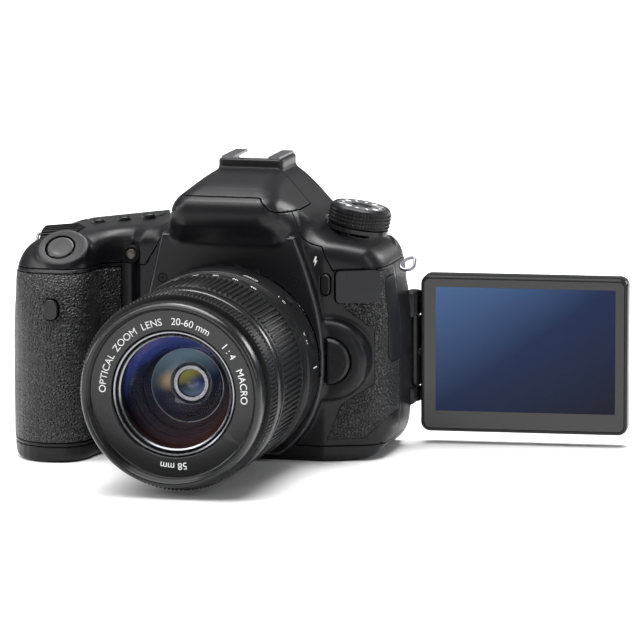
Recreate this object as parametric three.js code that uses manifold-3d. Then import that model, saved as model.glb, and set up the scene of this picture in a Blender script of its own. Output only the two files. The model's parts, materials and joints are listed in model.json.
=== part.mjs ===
// Digital single-lens reflex camera with a zoom lens and a side-hinged screen.
// Millimetres, +Z up. The origin is on the base plane, under the lens axis, at the focal plane.
// The lens points along -Y and the screen opens on the +X side.
import * as THREE from 'three';
import { mergeVertices } from 'three/addons/utils/BufferGeometryUtils.js';
import Module from 'manifold-3d';

const wasm = await Module();
wasm.setup();

// Driving dimensions
const GAP = 0.3;                 // running gap between neighbours
const AXIS_Z = 35.3;             // height of the lens axis
const FLANGE_Y = -44;            // lens mounting face
const MASK_Y = -42.5;            // front of the plate round the mount
const FRONT_Y = -38;             // front wall of the case
const REAR_Y = 13;               // rear wall behind the controls
const RECESS_Y = 3.9;            // floor of the recess that the screen folds into
const BAND_Y = 10.5;             // rear of the bands above and below the screen
const RECESS_LEFT = -24.6;       // side of the screen recess
const CASE_RIGHT = 54.5;
const GRIP_LEFT = -77.6;
const GRIP_FRONT = -62;
const BASE_SEAM = 5.5;           // base cover below, front and rear covers above
const TOP_SEAM = 67;             // top cover above
const REAR_SEAM = -13;           // front cover before, rear cover behind
const SKIN = 0.9;                // grip and side rubber thickness
const FINE = 36;                 // facets round the lens
const CURVE = 5;                 // steps on each curve of the body's outlines
const PLAIN = 16;                // facets round a button

const HINGE = { x: 54, y: 9, low: 20.5, high: 45.1 };       // upright hinge of the screen
const OPEN_ANGLE = THREE.MathUtils.degToRad(5);             // open screen, turned from +X
const SCREEN = { width: 73.3, height: 55.8, thick: 9, inset: 2.7, z: 32.3 };
const SCREEN_GAP = 0.6;          // room above and below the folded screen
const DIAL_TILT = THREE.MathUtils.degToRad(10);             // mode dial leans towards +X
const DIAL = { x: 38.2, y: -11, z: 77.6, radius: 11 };
const GRIP_SLOPE = THREE.MathUtils.degToRad(41);            // shutter button faces up and forward
const SHOE_Z = 98.6;             // underside of the accessory shoe
const SHOULDER = { x: -28, z: 81.6, endX: -60, endZ: 77.4 }; // top falls from the hump to the grip
const LENS = { barrel: 34.2, zoom: 33.7, focus: 33.6, rim: 31, thread: 29, glass: 19.6, front: -118 };
const ZOOM = { back: -65.8, front: -95.3 };                 // zoom ring
const FOCUS = { back: -102, front: -110 };                  // focus ring

const UP = new THREE.Vector3(0, 0, 1);
const FORWARD = new THREE.Vector3(0, -1, 0);
const BACK = new THREE.Vector3(0, 1, 0);
const DIAL_UP = new THREE.Vector3(Math.sin(DIAL_TILT), 0, Math.cos(DIAL_TILT));
const GRIP_UP = new THREE.Vector3(0, -Math.sin(GRIP_SLOPE), Math.cos(GRIP_SLOPE));

// Materials
const paint = (color, roughness, metalness) =>
  new THREE.MeshStandardMaterial({ color, roughness, metalness });
const SATIN = paint(0x1d1c20, 0.5, 0);
const RUBBER = paint(0x17171a, 0.85, 0);
const GLOSS = paint(0x0e0e10, 0.15, 0);
const STEEL = paint(0xb9babd, 0.25, 1);
const GREY = paint(0x55555b, 0.45, 0.3);
const GLASS = paint(0x182036, 0.05, 0);
const BOARD = paint(0x1f4a2c, 0.6, 0);
const LAMP = paint(0x6b625a, 0.35, 0);

// Solids
function signedVolume(points, corners) {
  const [a, b, c] = [new THREE.Vector3(), new THREE.Vector3(), new THREE.Vector3()];
  let volume = 0;
  for (let i = 0; i < corners.length; i += 3) {
    a.fromArray(points, corners[i] * 3);
    b.fromArray(points, corners[i + 1] * 3);
    c.fromArray(points, corners[i + 2] * 3);
    volume += a.dot(b.cross(c)) / 6;
  }
  return volume;
}

function solid(geometry) {
  const bare = geometry.clone();
  bare.deleteAttribute('normal');
  bare.deleteAttribute('uv');
  const merged = mergeVertices(bare, 1e-4);
  const points = Float32Array.from(merged.getAttribute('position').array);
  const corners = [];
  const index = merged.index.array;
  for (let i = 0; i < index.length; i += 3) {
    const [a, b, c] = [index[i], index[i + 1], index[i + 2]];
    if (a !== b && b !== c && c !== a) corners.push(a, b, c);
  }
  if (signedVolume(points, corners) < 0) corners.reverse();
  const mesh = new wasm.Mesh({ numProp: 3, vertProperties: points, triVerts: Uint32Array.from(corners) });
  return new wasm.Manifold(mesh);
}

function toGeometry(body) {
  const mesh = body.getMesh();
  const geometry = new THREE.BufferGeometry();
  geometry.setAttribute('position', new THREE.BufferAttribute(Float32Array.from(mesh.vertProperties), 3));
  geometry.setIndex(new THREE.BufferAttribute(Uint32Array.from(mesh.triVerts), 1));
  return geometry;
}

// The largest body of a solid, without the slivers that a cut along a curved face can leave.
function largest(body) {
  const geometry = mergeVertices(toGeometry(body), 1e-3);
  const index = geometry.index.array;
  const owner = Array.from({ length: index.length / 3 }, (_, i) => i);
  const root = (i) => {
    while (owner[i] !== i) i = owner[i];
    return i;
  };
  const edges = new Map();
  for (let i = 0; i < index.length; i++) {
    const next = i % 3 === 2 ? i - 2 : i + 1;
    const key = [index[i], index[next]].sort((a, b) => a - b).join();
    const triangle = Math.floor(i / 3);
    if (edges.has(key)) owner[root(triangle)] = root(edges.get(key));
    edges.set(key, triangle);
  }
  const sizes = new Map();
  owner.forEach((_, i) => sizes.set(root(i), (sizes.get(root(i)) ?? 0) + 1));
  const main = [...sizes.keys()].reduce((a, b) => (sizes.get(b) > sizes.get(a) ? b : a));
  const corners = [...index].filter((_, i) => root(Math.floor(i / 3)) === main);
  geometry.setIndex(corners);
  return solid(geometry);
}

const join = (first, ...others) => others.reduce((sum, body) => sum.add(body), first);
const cut = (first, ...others) => others.reduce((rest, body) => rest.subtract(body), first);
const common = (first, ...others) => others.reduce((rest, body) => rest.intersect(body), first);
const shifted = (body, x, y, z) => solid(toGeometry(body).translate(x, y, z));

// An outline drawn in X and Y, run up along Z.
function alongZ(outline, low, high, bevel = 0, curveSegments = 2) {
  const depth = high - low - 2 * bevel;
  const settings = { depth, curveSegments, bevelEnabled: bevel > 0, bevelThickness: bevel };
  Object.assign(settings, { bevelSize: bevel, bevelOffset: -bevel, bevelSegments: 1 });
  return new THREE.ExtrudeGeometry(outline, settings).translate(0, 0, low + bevel);
}

// An outline drawn in X and Z, run along Y.
function alongY(outline, front, back, bevel = 0, curveSegments = 2) {
  return alongZ(outline, 0, back - front, bevel, curveSegments).rotateX(Math.PI / 2).translate(0, back, 0);
}

// An outline drawn in Y and Z, run along X.
function alongX(outline, left, right, bevel = 0, curveSegments = 2) {
  const run = alongZ(outline, 0, right - left, bevel, curveSegments);
  return run.rotateX(Math.PI / 2).rotateZ(Math.PI / 2).translate(left, 0, 0);
}

function polygon(points) {
  return new THREE.Shape(points.map(([u, v]) => new THREE.Vector2(u, v)));
}

function roundedRect(left, low, right, high, radius) {
  const outline = new THREE.Shape();
  const corners = [[right - radius, low + radius], [right - radius, high - radius],
    [left + radius, high - radius], [left + radius, low + radius]];
  corners.forEach(([u, v], i) => {
    const start = (i - 1) * Math.PI / 2;
    outline.absarc(u, v, radius, start, start + Math.PI / 2, false);
  });
  return outline;
}

const block = (x0, x1, y0, y1, z0, z1) =>
  new THREE.BoxGeometry(x1 - x0, y1 - y0, z1 - z0).translate((x0 + x1) / 2, (y0 + y1) / 2, (z0 + z1) / 2);

// A profile of [radius, height] turned round local Y.
function turned(profile, facets = PLAIN) {
  const points = profile.map(([radius, height]) => new THREE.Vector2(radius, height));
  if (THREE.ShapeUtils.area(points) < 0) points.reverse();
  const endsOnAxis = points[0].x === 0 && points[points.length - 1].x === 0;
  if (!endsOnAxis) points.push(points[0]);
  return new THREE.LatheGeometry(points, facets);
}

function cap(radius, height, edge, facets = PLAIN) {
  return turned([[0, 0], [radius, 0], [radius, height - edge], [radius - edge, height], [0, height]], facets);
}

function aimed(geometry, direction, x, y, z) {
  const turn = new THREE.Quaternion().setFromUnitVectors(BACK, direction);
  return geometry.clone().applyQuaternion(turn).translate(x, y, z);
}

const group = new THREE.Group();

function addWorld(name, geometry, material) {
  const mesh = new THREE.Mesh(geometry, material);
  mesh.name = name;
  group.add(mesh);
  return mesh;
}

// A turned or boxed piece whose local +Y is laid along a direction.
function addAimed(name, geometry, material, direction, x, y, z) {
  const mesh = addWorld(name, geometry, material);
  mesh.quaternion.setFromUnitVectors(BACK, direction);
  mesh.position.set(x, y, z);
  return mesh;
}

// ---------------------------------------------------------------- outer form of the body
function planOutline() {
  const outline = new THREE.Shape();
  outline.moveTo(RECESS_LEFT, REAR_Y);
  outline.lineTo(-58, REAR_Y);
  outline.bezierCurveTo(-70, REAR_Y, -76, -4, GRIP_LEFT - 0.6, -32);
  outline.bezierCurveTo(-78.8, -46, -72.6, GRIP_FRONT, -60.5, GRIP_FRONT);
  outline.bezierCurveTo(-51, GRIP_FRONT, -47.6, -56, -47.2, -46);
  outline.bezierCurveTo(-46.8, -38, -42, -34, -37, -34);
  outline.lineTo(-33, FRONT_Y);
  outline.lineTo(33, FRONT_Y);
  outline.lineTo(46, -32.8);
  outline.bezierCurveTo(52, -30, CASE_RIGHT, -26, CASE_RIGHT, -16);
  outline.lineTo(CASE_RIGHT, RECESS_Y);
  outline.lineTo(RECESS_LEFT, RECESS_Y);
  return outline;
}

function frontOutline() {
  const outline = new THREE.Shape();
  outline.moveTo(-73.5, 0);
  outline.lineTo(42, 0);
  outline.bezierCurveTo(49, 0, 53.5, 4, CASE_RIGHT, 13);
  outline.lineTo(CASE_RIGHT, 59);
  outline.bezierCurveTo(54.2, 65.5, 52, 70.4, 46.5, 74);
  outline.lineTo(27, 78.6);
  outline.lineTo(SHOULDER.x, SHOULDER.z);
  outline.lineTo(SHOULDER.endX, SHOULDER.endZ);
  outline.bezierCurveTo(-69.5, 76.4, -76, 73.2, GRIP_LEFT, 62.5);
  outline.lineTo(GRIP_LEFT, 5);
  outline.bezierCurveTo(GRIP_LEFT, 1.5, -76.5, 0, -73.5, 0);
  return outline;
}

function sideOutline() {
  const outline = new THREE.Shape();
  outline.moveTo(-58, 0);
  outline.lineTo(11, 0);
  outline.lineTo(REAR_Y, 2);
  outline.lineTo(REAR_Y, 68);
  outline.bezierCurveTo(REAR_Y, 76, 6, 82, -2, 82.5);
  outline.lineTo(-26, 82.5);
  outline.lineTo(-34, 81.4);
  outline.bezierCurveTo(-38, 80.6, -41.5, 79.6, -43.8, 77.7);
  outline.lineTo(-58, 65.4);
  outline.bezierCurveTo(-60.5, 63.2, GRIP_FRONT, 61.5, GRIP_FRONT, 56);
  outline.lineTo(GRIP_FRONT, 5);
  outline.bezierCurveTo(GRIP_FRONT, 2, -61, 0, -58, 0);
  return outline;
}

function humpFront() {
  const outline = new THREE.Shape();
  outline.moveTo(-28, 74);
  outline.lineTo(-24, 80.5);
  outline.lineTo(-21.6, 84.5);
  outline.bezierCurveTo(-20.4, 88.5, -19, 91, -16.6, 93.2);
  outline.bezierCurveTo(-13.8, 95.8, -12.6, 98, -10.4, SHOE_Z + 0.7);
  outline.lineTo(10.2, SHOE_Z + 0.7);
  outline.bezierCurveTo(13, 97.4, 15, 94.8, 18, 91.6);
  outline.bezierCurveTo(21, 88.4, 24, 84.6, 29, 80.5);
  outline.lineTo(31, 74);
  return outline;
}

function humpSide() {
  const outline = new THREE.Shape();
  outline.moveTo(-37, 70);
  outline.bezierCurveTo(-42, 76, -46.5, 80, -50, 82.6);
  outline.bezierCurveTo(-52.3, 85, -52.3, 90, -49.5, 91.8);
  outline.bezierCurveTo(-40, 96.2, -30, 99, -16, SHOE_Z + 1);
  outline.lineTo(6, SHOE_Z + 1);
  outline.bezierCurveTo(9, 97.8, 12.5, 94, 12.5, 88);
  outline.lineTo(12.5, 74);
  outline.lineTo(10, 70);
  return outline;
}

function humpPlan() {
  return polygon([[-15, -54], [14.5, -54], [19.5, -47], [24, -34], [31, -28], [31, 9], [20, 14], [-20, 14],
    [-28, 9], [-28, -28], [-24, -34], [-20.5, -47]]);
}

function maskOutline() {
  const outline = new THREE.Shape();
  outline.moveTo(-24, 79);
  outline.lineTo(-29.5, 56);
  outline.bezierCurveTo(-35.5, 46, -35.5, 22, -31, 8);
  outline.lineTo(-25, 2.5);
  outline.lineTo(18, 2.5);
  outline.bezierCurveTo(29, 9, 34.2, 22, 34.2, AXIS_Z);
  outline.bezierCurveTo(34.2, 52, 28, 68, 23.6, 79);
  return outline;
}

function hingeLug(low, high) {
  const neck = 1.6;
  const barrel = new THREE.CylinderGeometry(2.3, 2.3, high - low, PLAIN);
  barrel.rotateX(Math.PI / 2).translate(HINGE.x, HINGE.y, (low + high) / 2);
  return join(solid(barrel), solid(block(HINGE.x - neck, HINGE.x + neck, 1, HINGE.y, low, high)));
}

function outerBody() {
  const frontRun = solid(alongY(frontOutline(), -64, 15, 0, CURVE));
  const sideRun = solid(alongX(sideOutline(), -82, 60, 0, CURVE));
  const plan = solid(alongZ(planOutline(), -1, 84, 0, CURVE));
  const half = SCREEN.height / 2 + SCREEN_GAP;
  const lowBand = solid(block(RECESS_LEFT - 1, 50, 0, BAND_Y, -1, SCREEN.z - half));
  const highBand = solid(block(RECESS_LEFT - 1, 51.5, 0, BAND_Y, SCREEN.z + half, 79));
  const box = common(join(plan, lowBand, highBand), frontRun, sideRun);
  const sweep = new THREE.CylinderGeometry(5.8, 5.8, 2 * half, 24).rotateX(Math.PI / 2);
  const clearance = solid(sweep.translate(HINGE.x, HINGE.y, SCREEN.z));
  const humpRun = solid(alongY(humpFront(), -56, 16, 0, CURVE));
  const humpAcross = solid(alongX(humpSide(), -32, 32, 0, CURVE));
  const hump = common(humpRun, humpAcross, solid(alongZ(humpPlan(), 68, 104)));
  const mask = solid(alongY(maskOutline(), MASK_Y, FRONT_Y + 2, 0.8, 2 * CURVE));
  const releaseBoss = solid(aimed(cap(14.2, 6, 1.6, 28), FORWARD, 34.3, FRONT_Y + 3.4, 36));
  const shoeBlock = solid(block(-11.6, 11.6, -13, 8, 96, SHOE_Z + 3));
  const lugs = [hingeLug(14.4, HINGE.low - GAP), hingeLug(HINGE.high + GAP, 54.2)];
  const dialClearance = solid(aimed(cap(DIAL.radius + 0.7, 16, 1, 36), DIAL_UP, DIAL.x, DIAL.y, DIAL.z));
  return join(cut(join(cut(box, clearance), hump), dialClearance), mask, releaseBoss, shoeBlock, ...lugs);
}

function cavity() {
  const main = polygon([[-45, -31], [-36, -31], [-33, -35], [30, -35], [45, -29], [51.5, -20], [51.5, 1.4],
    [-26.9, 1.4], [-26.9, 10.4], [-60, 10.4], [-68, 5], [-72.5, -8], [-75, -28], [-75, -42], [-71, -53],
    [-62, -58.6], [-54, -57], [-51, -50], [-50.3, -40]]);
  return join(
    solid(alongZ(main, 2.4, 64)),
    solid(block(-45, 49, -31, 1.5, 63, 72)),
    solid(block(-31, 31, -34.6, -30, 63, 72)),
    solid(block(-16, 16, -34, 8, 70, 90.5)),
    solid(block(-13.5, 13.5, -46, -33, 80.5, 96)));
}

// Part of the body above the seam of the flash head.
function flashRegion(grow) {
  const low = polygon([[-40, 84 - grow], [-23.5, 85 - grow], [-16.5 + grow, 88 - grow],
    [-16 + grow, 93.6 - grow], [14 - grow, 93.6 - grow], [15 - grow, 88 - grow], [23.5, 85 - grow],
    [40, 84 - grow], [40, 110], [-40, 110]]);
  return solid(alongY(low, -60, -14.2 + grow));
}

// Part of the front cover that reaches up to the flash head.
function frontRise(grow) {
  const high = 93.6 - GAP;
  const outline = polygon([[-31 - grow, 60], [-31 - grow, 67], [-24.5 - grow, 78], [-19.5 - grow, 87],
    [-18.5 - grow, high], [17 + grow, high], [17 + grow, 87.5], [23.4 + grow, 84.8], [28 + grow, 80.2],
    [31.6 + grow, 75.7], [35.8 + grow, 67], [35.8 + grow, 60]]);
  return solid(alongY(outline, -60, -36.5 + grow));
}

const outer = outerBody();
const shell = cut(outer, cavity());

// ---------------------------------------------------------------- holes for the fitted pieces
const POCKET = 0.4;              // clearance round a button
const TRAVEL = 0.8;              // how far a button presses in

function pocket(radius, depth, direction, x, y, z) {
  const hole = turned([[0, -depth], [radius + POCKET, -depth], [radius + POCKET, 12], [0, 12]]);
  return solid(aimed(hole, direction, x, y, z));
}

// name, radius, height, edge, direction, place of its underside, material
const BUTTONS = [
  ['shutter_button', 5, 3.2, 1, GRIP_UP, [-58.5, -47.75, 71.77], GLOSS],
  ['autofocus_mode_button', 2.3, 2.6, 0.5, UP, [-55, -14, 76.4], SATIN],
  ['drive_mode_button', 2.3, 2.6, 0.5, UP, [-45.7, -13.6, 77.6], SATIN],
  ['iso_button', 2.3, 2.6, 0.5, UP, [-36.7, -13.2, 78.8], SATIN],
  ['preview_button', 2.5, 3, 0.6, FORWARD, [-37.1, -32.4, 17], SATIN],
  ['set_button', 4.6, 3.4, 0.8, BACK, [-45, 10.8, 31], SATIN],
  ['start_stop_button', 3, 3, 0.6, BACK, [-31.5, 11.4, 58.5], SATIN],
  ['focus_start_button', 2.8, 2.6, 0.6, BACK, [-44.5, 11.4, 60.5], SATIN],
  ['menu_button', 2.4, 2.6, 0.5, BACK, [45.5, 8.9, 69.4], SATIN],
  ['info_button', 2.4, 2.6, 0.5, BACK, [36, 8.9, 69.4], SATIN],
];

function buttonPockets() {
  const depth = TRAVEL + GAP;
  return BUTTONS.map(([, radius, , , direction, [x, y, z]]) => pocket(radius, depth, direction, x, y, z));
}

// A half disc with its flat side towards the lens.
function releaseOutline(grow) {
  const outline = new THREE.Shape();
  outline.moveTo(34.8 - grow, 28 - grow);
  outline.absarc(34.8, 36, 8 + grow, -Math.PI / 2, Math.PI / 2, false);
  outline.lineTo(34.8 - grow, 44 + grow);
  return outline;
}

// An upright slot shape, or a disc where the two halves are equal.
function capsule(x, z, halfWidth, halfHeight) {
  const outline = new THREE.Shape();
  const rise = halfHeight - halfWidth;
  outline.absarc(x, z + rise, halfWidth, 0, Math.PI, false);
  outline.absarc(x, z - rise, halfWidth, Math.PI, 2 * Math.PI, false);
  return outline;
}

function cylinderAlongX(radius, x0, x1, y, z, facets = 32) {
  const rod = new THREE.CylinderGeometry(radius, radius, x1 - x0, facets);
  return rod.rotateZ(Math.PI / 2).translate((x0 + x1) / 2, y, z);
}

function mainDialCylinder(radius, width, facets) {
  const rod = new THREE.CylinderGeometry(radius, radius, width, facets);
  const turn = new THREE.Quaternion().setFromUnitVectors(BACK, MAIN_DIAL_AXIS);
  return rod.applyQuaternion(turn).translate(MAIN_DIAL.x, MAIN_DIAL.y, MAIN_DIAL.z);
}

const ringAlongY = (outerRadius, innerRadius, front, back, facets = FINE) =>
  turned([[innerRadius, front], [outerRadius, front], [outerRadius, back], [innerRadius, back]], facets);

const MAIN_DIAL = { x: -62.5, y: -31, z: 69.8, radius: 9.4, width: 13, turn: THREE.MathUtils.degToRad(6) };
const MAIN_DIAL_AXIS = new THREE.Vector3(Math.cos(MAIN_DIAL.turn), 0, Math.sin(MAIN_DIAL.turn));
const BADGE = { x: 43.9, y: -34.1, z: 61.4, width: 15.4, height: 11, turn: Math.atan2(5.2, 13) };

const mountHole = solid(turned([[0, -60], [32.6, -60], [32.6, -30], [0, -30]], FINE).translate(0, 0, AXIS_Z));
const eyepieceHole = solid(alongY(roundedRect(-8.6, 76.8, 8.6, 89.2, 2), 1, 14));
const shoeChannel = solid(block(-10.9, 10.9, -12.4, 9, SHOE_Z - GAP, 106));
const dialBore = turned([[0, -3], [4.4, -3], [4.4, 8], [0, 8]]);
const dialSeat = solid(aimed(dialBore, DIAL_UP, DIAL.x, DIAL.y, DIAL.z));
const dialWell = solid(mainDialCylinder(MAIN_DIAL.radius + 0.6, MAIN_DIAL.width + 1, 32));

function badgeBlock(grow, depth) {
  const outline = roundedRect(-BADGE.width / 2 - grow, -BADGE.height / 2 - grow, BADGE.width / 2 + grow,
    BADGE.height / 2 + grow, 1.6);
  return alongY(outline, -2 - grow, depth + grow).rotateZ(BADGE.turn).translate(BADGE.x, BADGE.y, BADGE.z);
}

// A flat piece laid on the top of the body, where it falls towards the grip.
function onShoulder(geometry) {
  const fall = (SHOULDER.z - SHOULDER.endZ) / (SHOULDER.x - SHOULDER.endX);
  const x = -49;
  return geometry.rotateY(-Math.atan(fall)).translate(x, -1, SHOULDER.z - fall * (SHOULDER.x - x));
}

// Skins: the outer form less the same form pushed inwards.
const gripSkinRegion = (grow) =>
  solid(block(-84, -40.8 + grow, -64, REAR_SEAM - 0.6 + grow, 7 - grow, 65.4 + grow));
const gripFloor = (depth) => common(shifted(outer, depth, depth, 0), shifted(outer, -depth, depth, 0));
function sideSkinRegion(grow) {
  const outline = polygon([[33.8 - grow, 8 - grow], [46, 8 - grow], [60, 22 - grow], [60, 66 + grow],
    [38.6 - grow, 66 + grow], [39.5 - grow, 54], [49.2 - grow, 46], [49.2 - grow, 27], [38.5 - grow, 20]]);
  return solid(alongY(outline, -60, -16 + grow));
}

const sideFloor = (depth) => shifted(outer, -depth, depth, 0);

const portRegion = (grow) =>
  solid(alongX(roundedRect(-26 - grow, 34 - grow, -15.6 + grow, 63.4 + grow, 2.5), 46, 60));
const cardRegion = (grow) => solid(block(-84, -70, -11.5 - grow, 3 + grow, 21 - grow, 57 + grow));

// ---------------------------------------------------------------- covers
const farX = 90;
const frontZone = block(-farX, farX, -farX, REAR_SEAM - GAP / 2, BASE_SEAM + GAP / 2, TOP_SEAM - GAP / 2);
const rearZone = block(-farX, farX, REAR_SEAM + GAP / 2, farX, BASE_SEAM + GAP / 2, TOP_SEAM - GAP / 2);
const topZone = block(-farX, farX, -farX, farX, TOP_SEAM + GAP / 2, 120);
const baseZone = block(-farX, farX, -farX, farX, -5, BASE_SEAM - GAP / 2);

function frontCover() {
  const zone = cut(join(solid(frontZone), frontRise(0)), flashRegion(GAP));
  const releaseSlot = solid(alongY(releaseOutline(POCKET), -60, -30, 0, 8));
  const flashSlot = solid(alongY(capsule(33.4, 62.2, 1.9, 4), -60, -30));
  const windowSeat = solid(alongY(capsule(-58.6, 53.6, 2.9, 3.9), -70, GRIP_FRONT + 1.3, 0, 3));
  const gripSeat = cut(common(outer, gripSkinRegion(GAP)), gripFloor(SKIN + GAP));
  const sideSeat = cut(common(outer, sideSkinRegion(GAP)), sideFloor(SKIN + GAP));
  const portHole = portRegion(GAP);
  return cut(common(shell, zone), mountHole, dialWell, releaseSlot, flashSlot, windowSeat, gripSeat, sideSeat,
    portHole, solid(badgeBlock(GAP, 1.2)), ...buttonPockets());
}

function rearCover() {
  const dialSeatRear = pocket(14.2, 0.2, BACK, -45, 11.4, 31);
  const leverSeat = pocket(6.2, 0.2, BACK, -31.5, 12.2, 58.5);
  const lockSlot = solid(alongY(roundedRect(-51.5, 9.6, -38.5, 13.4, 1.5), 11.6, 16));
  const arm = block(HINGE.x - 1.4, HINGE.x + 1.4, HINGE.y - 1.4, HINGE.y + 1.4, 17.2, 48.4);
  return cut(common(shell, solid(rearZone)), dialSeatRear, leverSeat, lockSlot, solid(arm), cardRegion(GAP),
    ...buttonPockets());
}

function topCover() {
  const lampSeat = solid(alongY(capsule(-36.2, 71.4, 3.4, 3.4), -60, -35.2, 0, 4));
  const lcdSeat = solid(onShoulder(alongZ(roundedRect(-15.4, -7.4, 15.4, 7.4, 2), -1.3, 10)));
  return cut(common(shell, solid(topZone)), frontRise(GAP), flashRegion(GAP), eyepieceHole, shoeChannel,
    dialSeat, dialWell, lampSeat, lcdSeat, ...buttonPockets());
}

function baseCover() {
  const batteryHole = solid(block(-73.2, -51.2, -49.3, -10.7, -2, 10));
  const socketHole = solid(aimed(cap(6.5, 12, 1, 28), UP, 0, -14, -2));
  return cut(common(shell, solid(baseZone)), batteryHole, socketHole, mountHole);
}

addWorld('front_cover', toGeometry(frontCover()), SATIN);
addWorld('rear_cover', toGeometry(rearCover()), SATIN);
addWorld('top_cover', toGeometry(topCover()), SATIN);
addWorld('base_cover', toGeometry(baseCover()), SATIN);

const gripSkin = cut(common(outer, gripSkinRegion(0)), gripFloor(SKIN),
  solid(alongY(capsule(-58.6, 53.6, 3.2, 4.2), -70, -50, 0, 3)));
addWorld('grip_rubber', toGeometry(gripSkin), RUBBER);
const sideSkin = cut(common(outer, sideSkinRegion(0)), sideFloor(SKIN), portRegion(2 * GAP),
  solid(block(50, 60, -24, -14, 62, 72)),
  solid(badgeBlock(2 * GAP, 6)), solid(aimed(cap(14.6, 20, 1), FORWARD, 34.3, -25, 36)));
addWorld('side_rubber', toGeometry(largest(sideSkin)), RUBBER);

// ---------------------------------------------------------------- inside the body
function mirrorBox() {
  const flange = solid(turned([[0, -41], [32, -41], [32, -38.5], [0, -38.5]], FINE).translate(0, 0, AXIS_Z));
  const walls = solid(alongY(roundedRect(-22, 14, 22, 57, 2), -39, -8.6));
  const throat = solid(turned([[0, -50], [26.9, -50], [26.9, -36], [0, -36]], FINE).translate(0, 0, AXIS_Z));
  const chamber = solid(block(-17.5, 17.5, -37, -11, 18, 62));
  const gate = solid(block(-12, 12, -20, 0, 27, 44));
  return cut(join(flange, walls), throat, chamber, gate);
}

addWorld('mirror_box', toGeometry(mirrorBox()), GLOSS);
const mountRing = turned([[27, FLANGE_Y], [32.2, FLANGE_Y], [32.2, -41.3], [27, -41.3]], FINE);
addWorld('lens_mount_ring', mountRing.translate(0, 0, AXIS_Z), STEEL);

const shutterFrame = cut(solid(alongY(roundedRect(-20, 16, 20, 55, 2), -8, -3.4)),
  solid(block(-12, 12, -9, -6.4, 27, 44)), solid(block(-12, 12, -5, 0, 27, 44)));
addWorld('shutter_unit', toGeometry(shutterFrame), GREY);
const sensor = join(solid(alongY(roundedRect(-17, 22, 17, 49, 1.5), -0.2, 1.1)),
  solid(block(-11.2, 11.2, -1, 0, 27.8, 42.8)));
addWorld('image_sensor', toGeometry(sensor), GLASS);

const prismSide = polygon([[-31, 60.5], [-5, 60.5], [-1, 66], [-1, 86], [-12, 90], [-32, 79]]);
addWorld('pentaprism', alongX(prismSide, -14.5, 14.5, 0.6), GLASS);
addWorld('eyepiece_lens', alongY(roundedRect(-8, 77.4, 8, 88.6, 2), 4, 7.5, 0.8), GLASS);
addWorld('main_board', alongY(roundedRect(-62, 9, -29, 62, 1), 6, 7.6), BOARD);
addWorld('battery_pack', alongZ(roundedRect(-72.7, -48.8, -51.7, -11.2, 2), 3.4, 59), GLOSS);

function reflexMirror() {
  const length = 28;
  const plate = alongY(roundedRect(-13.5, -length, 13.5, 0, 1), -0.7, 0.7);
  return plate.rotateX(-Math.PI / 4).translate(0, -13, 47.3);
}

addWorld('reflex_mirror', reflexMirror(), STEEL);

// ---------------------------------------------------------------- small fixed pieces
function eyecup() {
  const rim = solid(alongY(roundedRect(-17.5, 71.5, 17.5, 94, 6), 12.9, 17.8, 1.2));
  return cut(rim, solid(alongY(roundedRect(-9.5, 76, 9.5, 90, 3), 0, 30)));
}

addWorld('eyecup', toGeometry(eyecup()), RUBBER);

function hotShoe() {
  const half = [[10.5, 0], [10.5, 3.9], [6.3, 3.9], [6.3, 3], [9.3, 3], [9.3, 0.8]];
  const channel = polygon([...half, ...half.map(([x, z]) => [-x, z]).reverse()]);
  return alongY(channel, -12, 7.6).translate(0, 0, SHOE_Z);
}

addWorld('hot_shoe', hotShoe(), STEEL);
addWorld('top_lcd_window', onShoulder(alongZ(roundedRect(-15, -7, 15, 7, 2), -0.9, -0.1, 0.2)), GLASS);

function strapLug(x, y, z, turn) {
  const wire = 0.8;
  const reach = 5.4;
  const loop = roundedRect(0, -3.6, reach, 3.6, 2.4);
  loop.holes.push(roundedRect(2 * wire, -2, reach - 2 * wire, 2, 1));
  return alongZ(loop, -wire, wire, 0.3).rotateX(Math.PI / 2).rotateZ(turn).translate(x, y, z);
}

addWorld('strap_lug_screen_side', strapLug(CASE_RIGHT + GAP, -17, 67, 0), STEEL);
addWorld('strap_lug_grip_side', strapLug(-75.4, -4, 69, Math.PI), STEEL);

const socket = turned([[3.2, 0.3], [6.1, 0.3], [6.1, 5], [3.2, 5]], 28).rotateX(Math.PI / 2);
addWorld('tripod_socket', socket.translate(0, -14, 0), STEEL);
addWorld('badge_plate', badgeBlock(0, 1), GREY);
const remoteWindow = alongY(capsule(-58.6, 53.6, 2.6, 3.6), GRIP_FRONT - 0.1, GRIP_FRONT + 1, 0.2, 3);
addWorld('remote_sensor_window', remoteWindow, GLOSS);
addWorld('timer_lamp', alongY(capsule(-36.2, 71.4, 3.1, 3.1), -38.6, -35.5, 0.4, 4), LAMP);

// ---------------------------------------------------------------- flash
function flashHead() {
  const hollow = solid(block(-11.6, 11.6, -40, -19, 80, 94.9));
  return cut(common(outer, flashRegion(0)), hollow);
}

addWorld('flash_head', toGeometry(flashHead()), SATIN);
addWorld('flash_window', alongZ(roundedRect(-11.2, -39.6, 11.2, -32, 1), 93.7, 94.6, 0.2), GLASS);

// ---------------------------------------------------------------- dials, buttons and levers
function modeDial() {
  const top = 9;
  const outline = [[3.4, 2], [DIAL.radius - 0.4, 2], [DIAL.radius, 2.4], [DIAL.radius, top - 1.4],
    [DIAL.radius - 0.9, top], [3.4, top]];
  return turned(outline, 36);
}

function powerLever() {
  const ring = solid(turned([[5, GAP], [DIAL.radius - 0.3, GAP], [DIAL.radius - 0.3, 1.7], [5, 1.7]], 32));
  return toGeometry(join(ring, solid(block(-2, 2, GAP, 1.7, -14.5, -9))));
}

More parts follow.
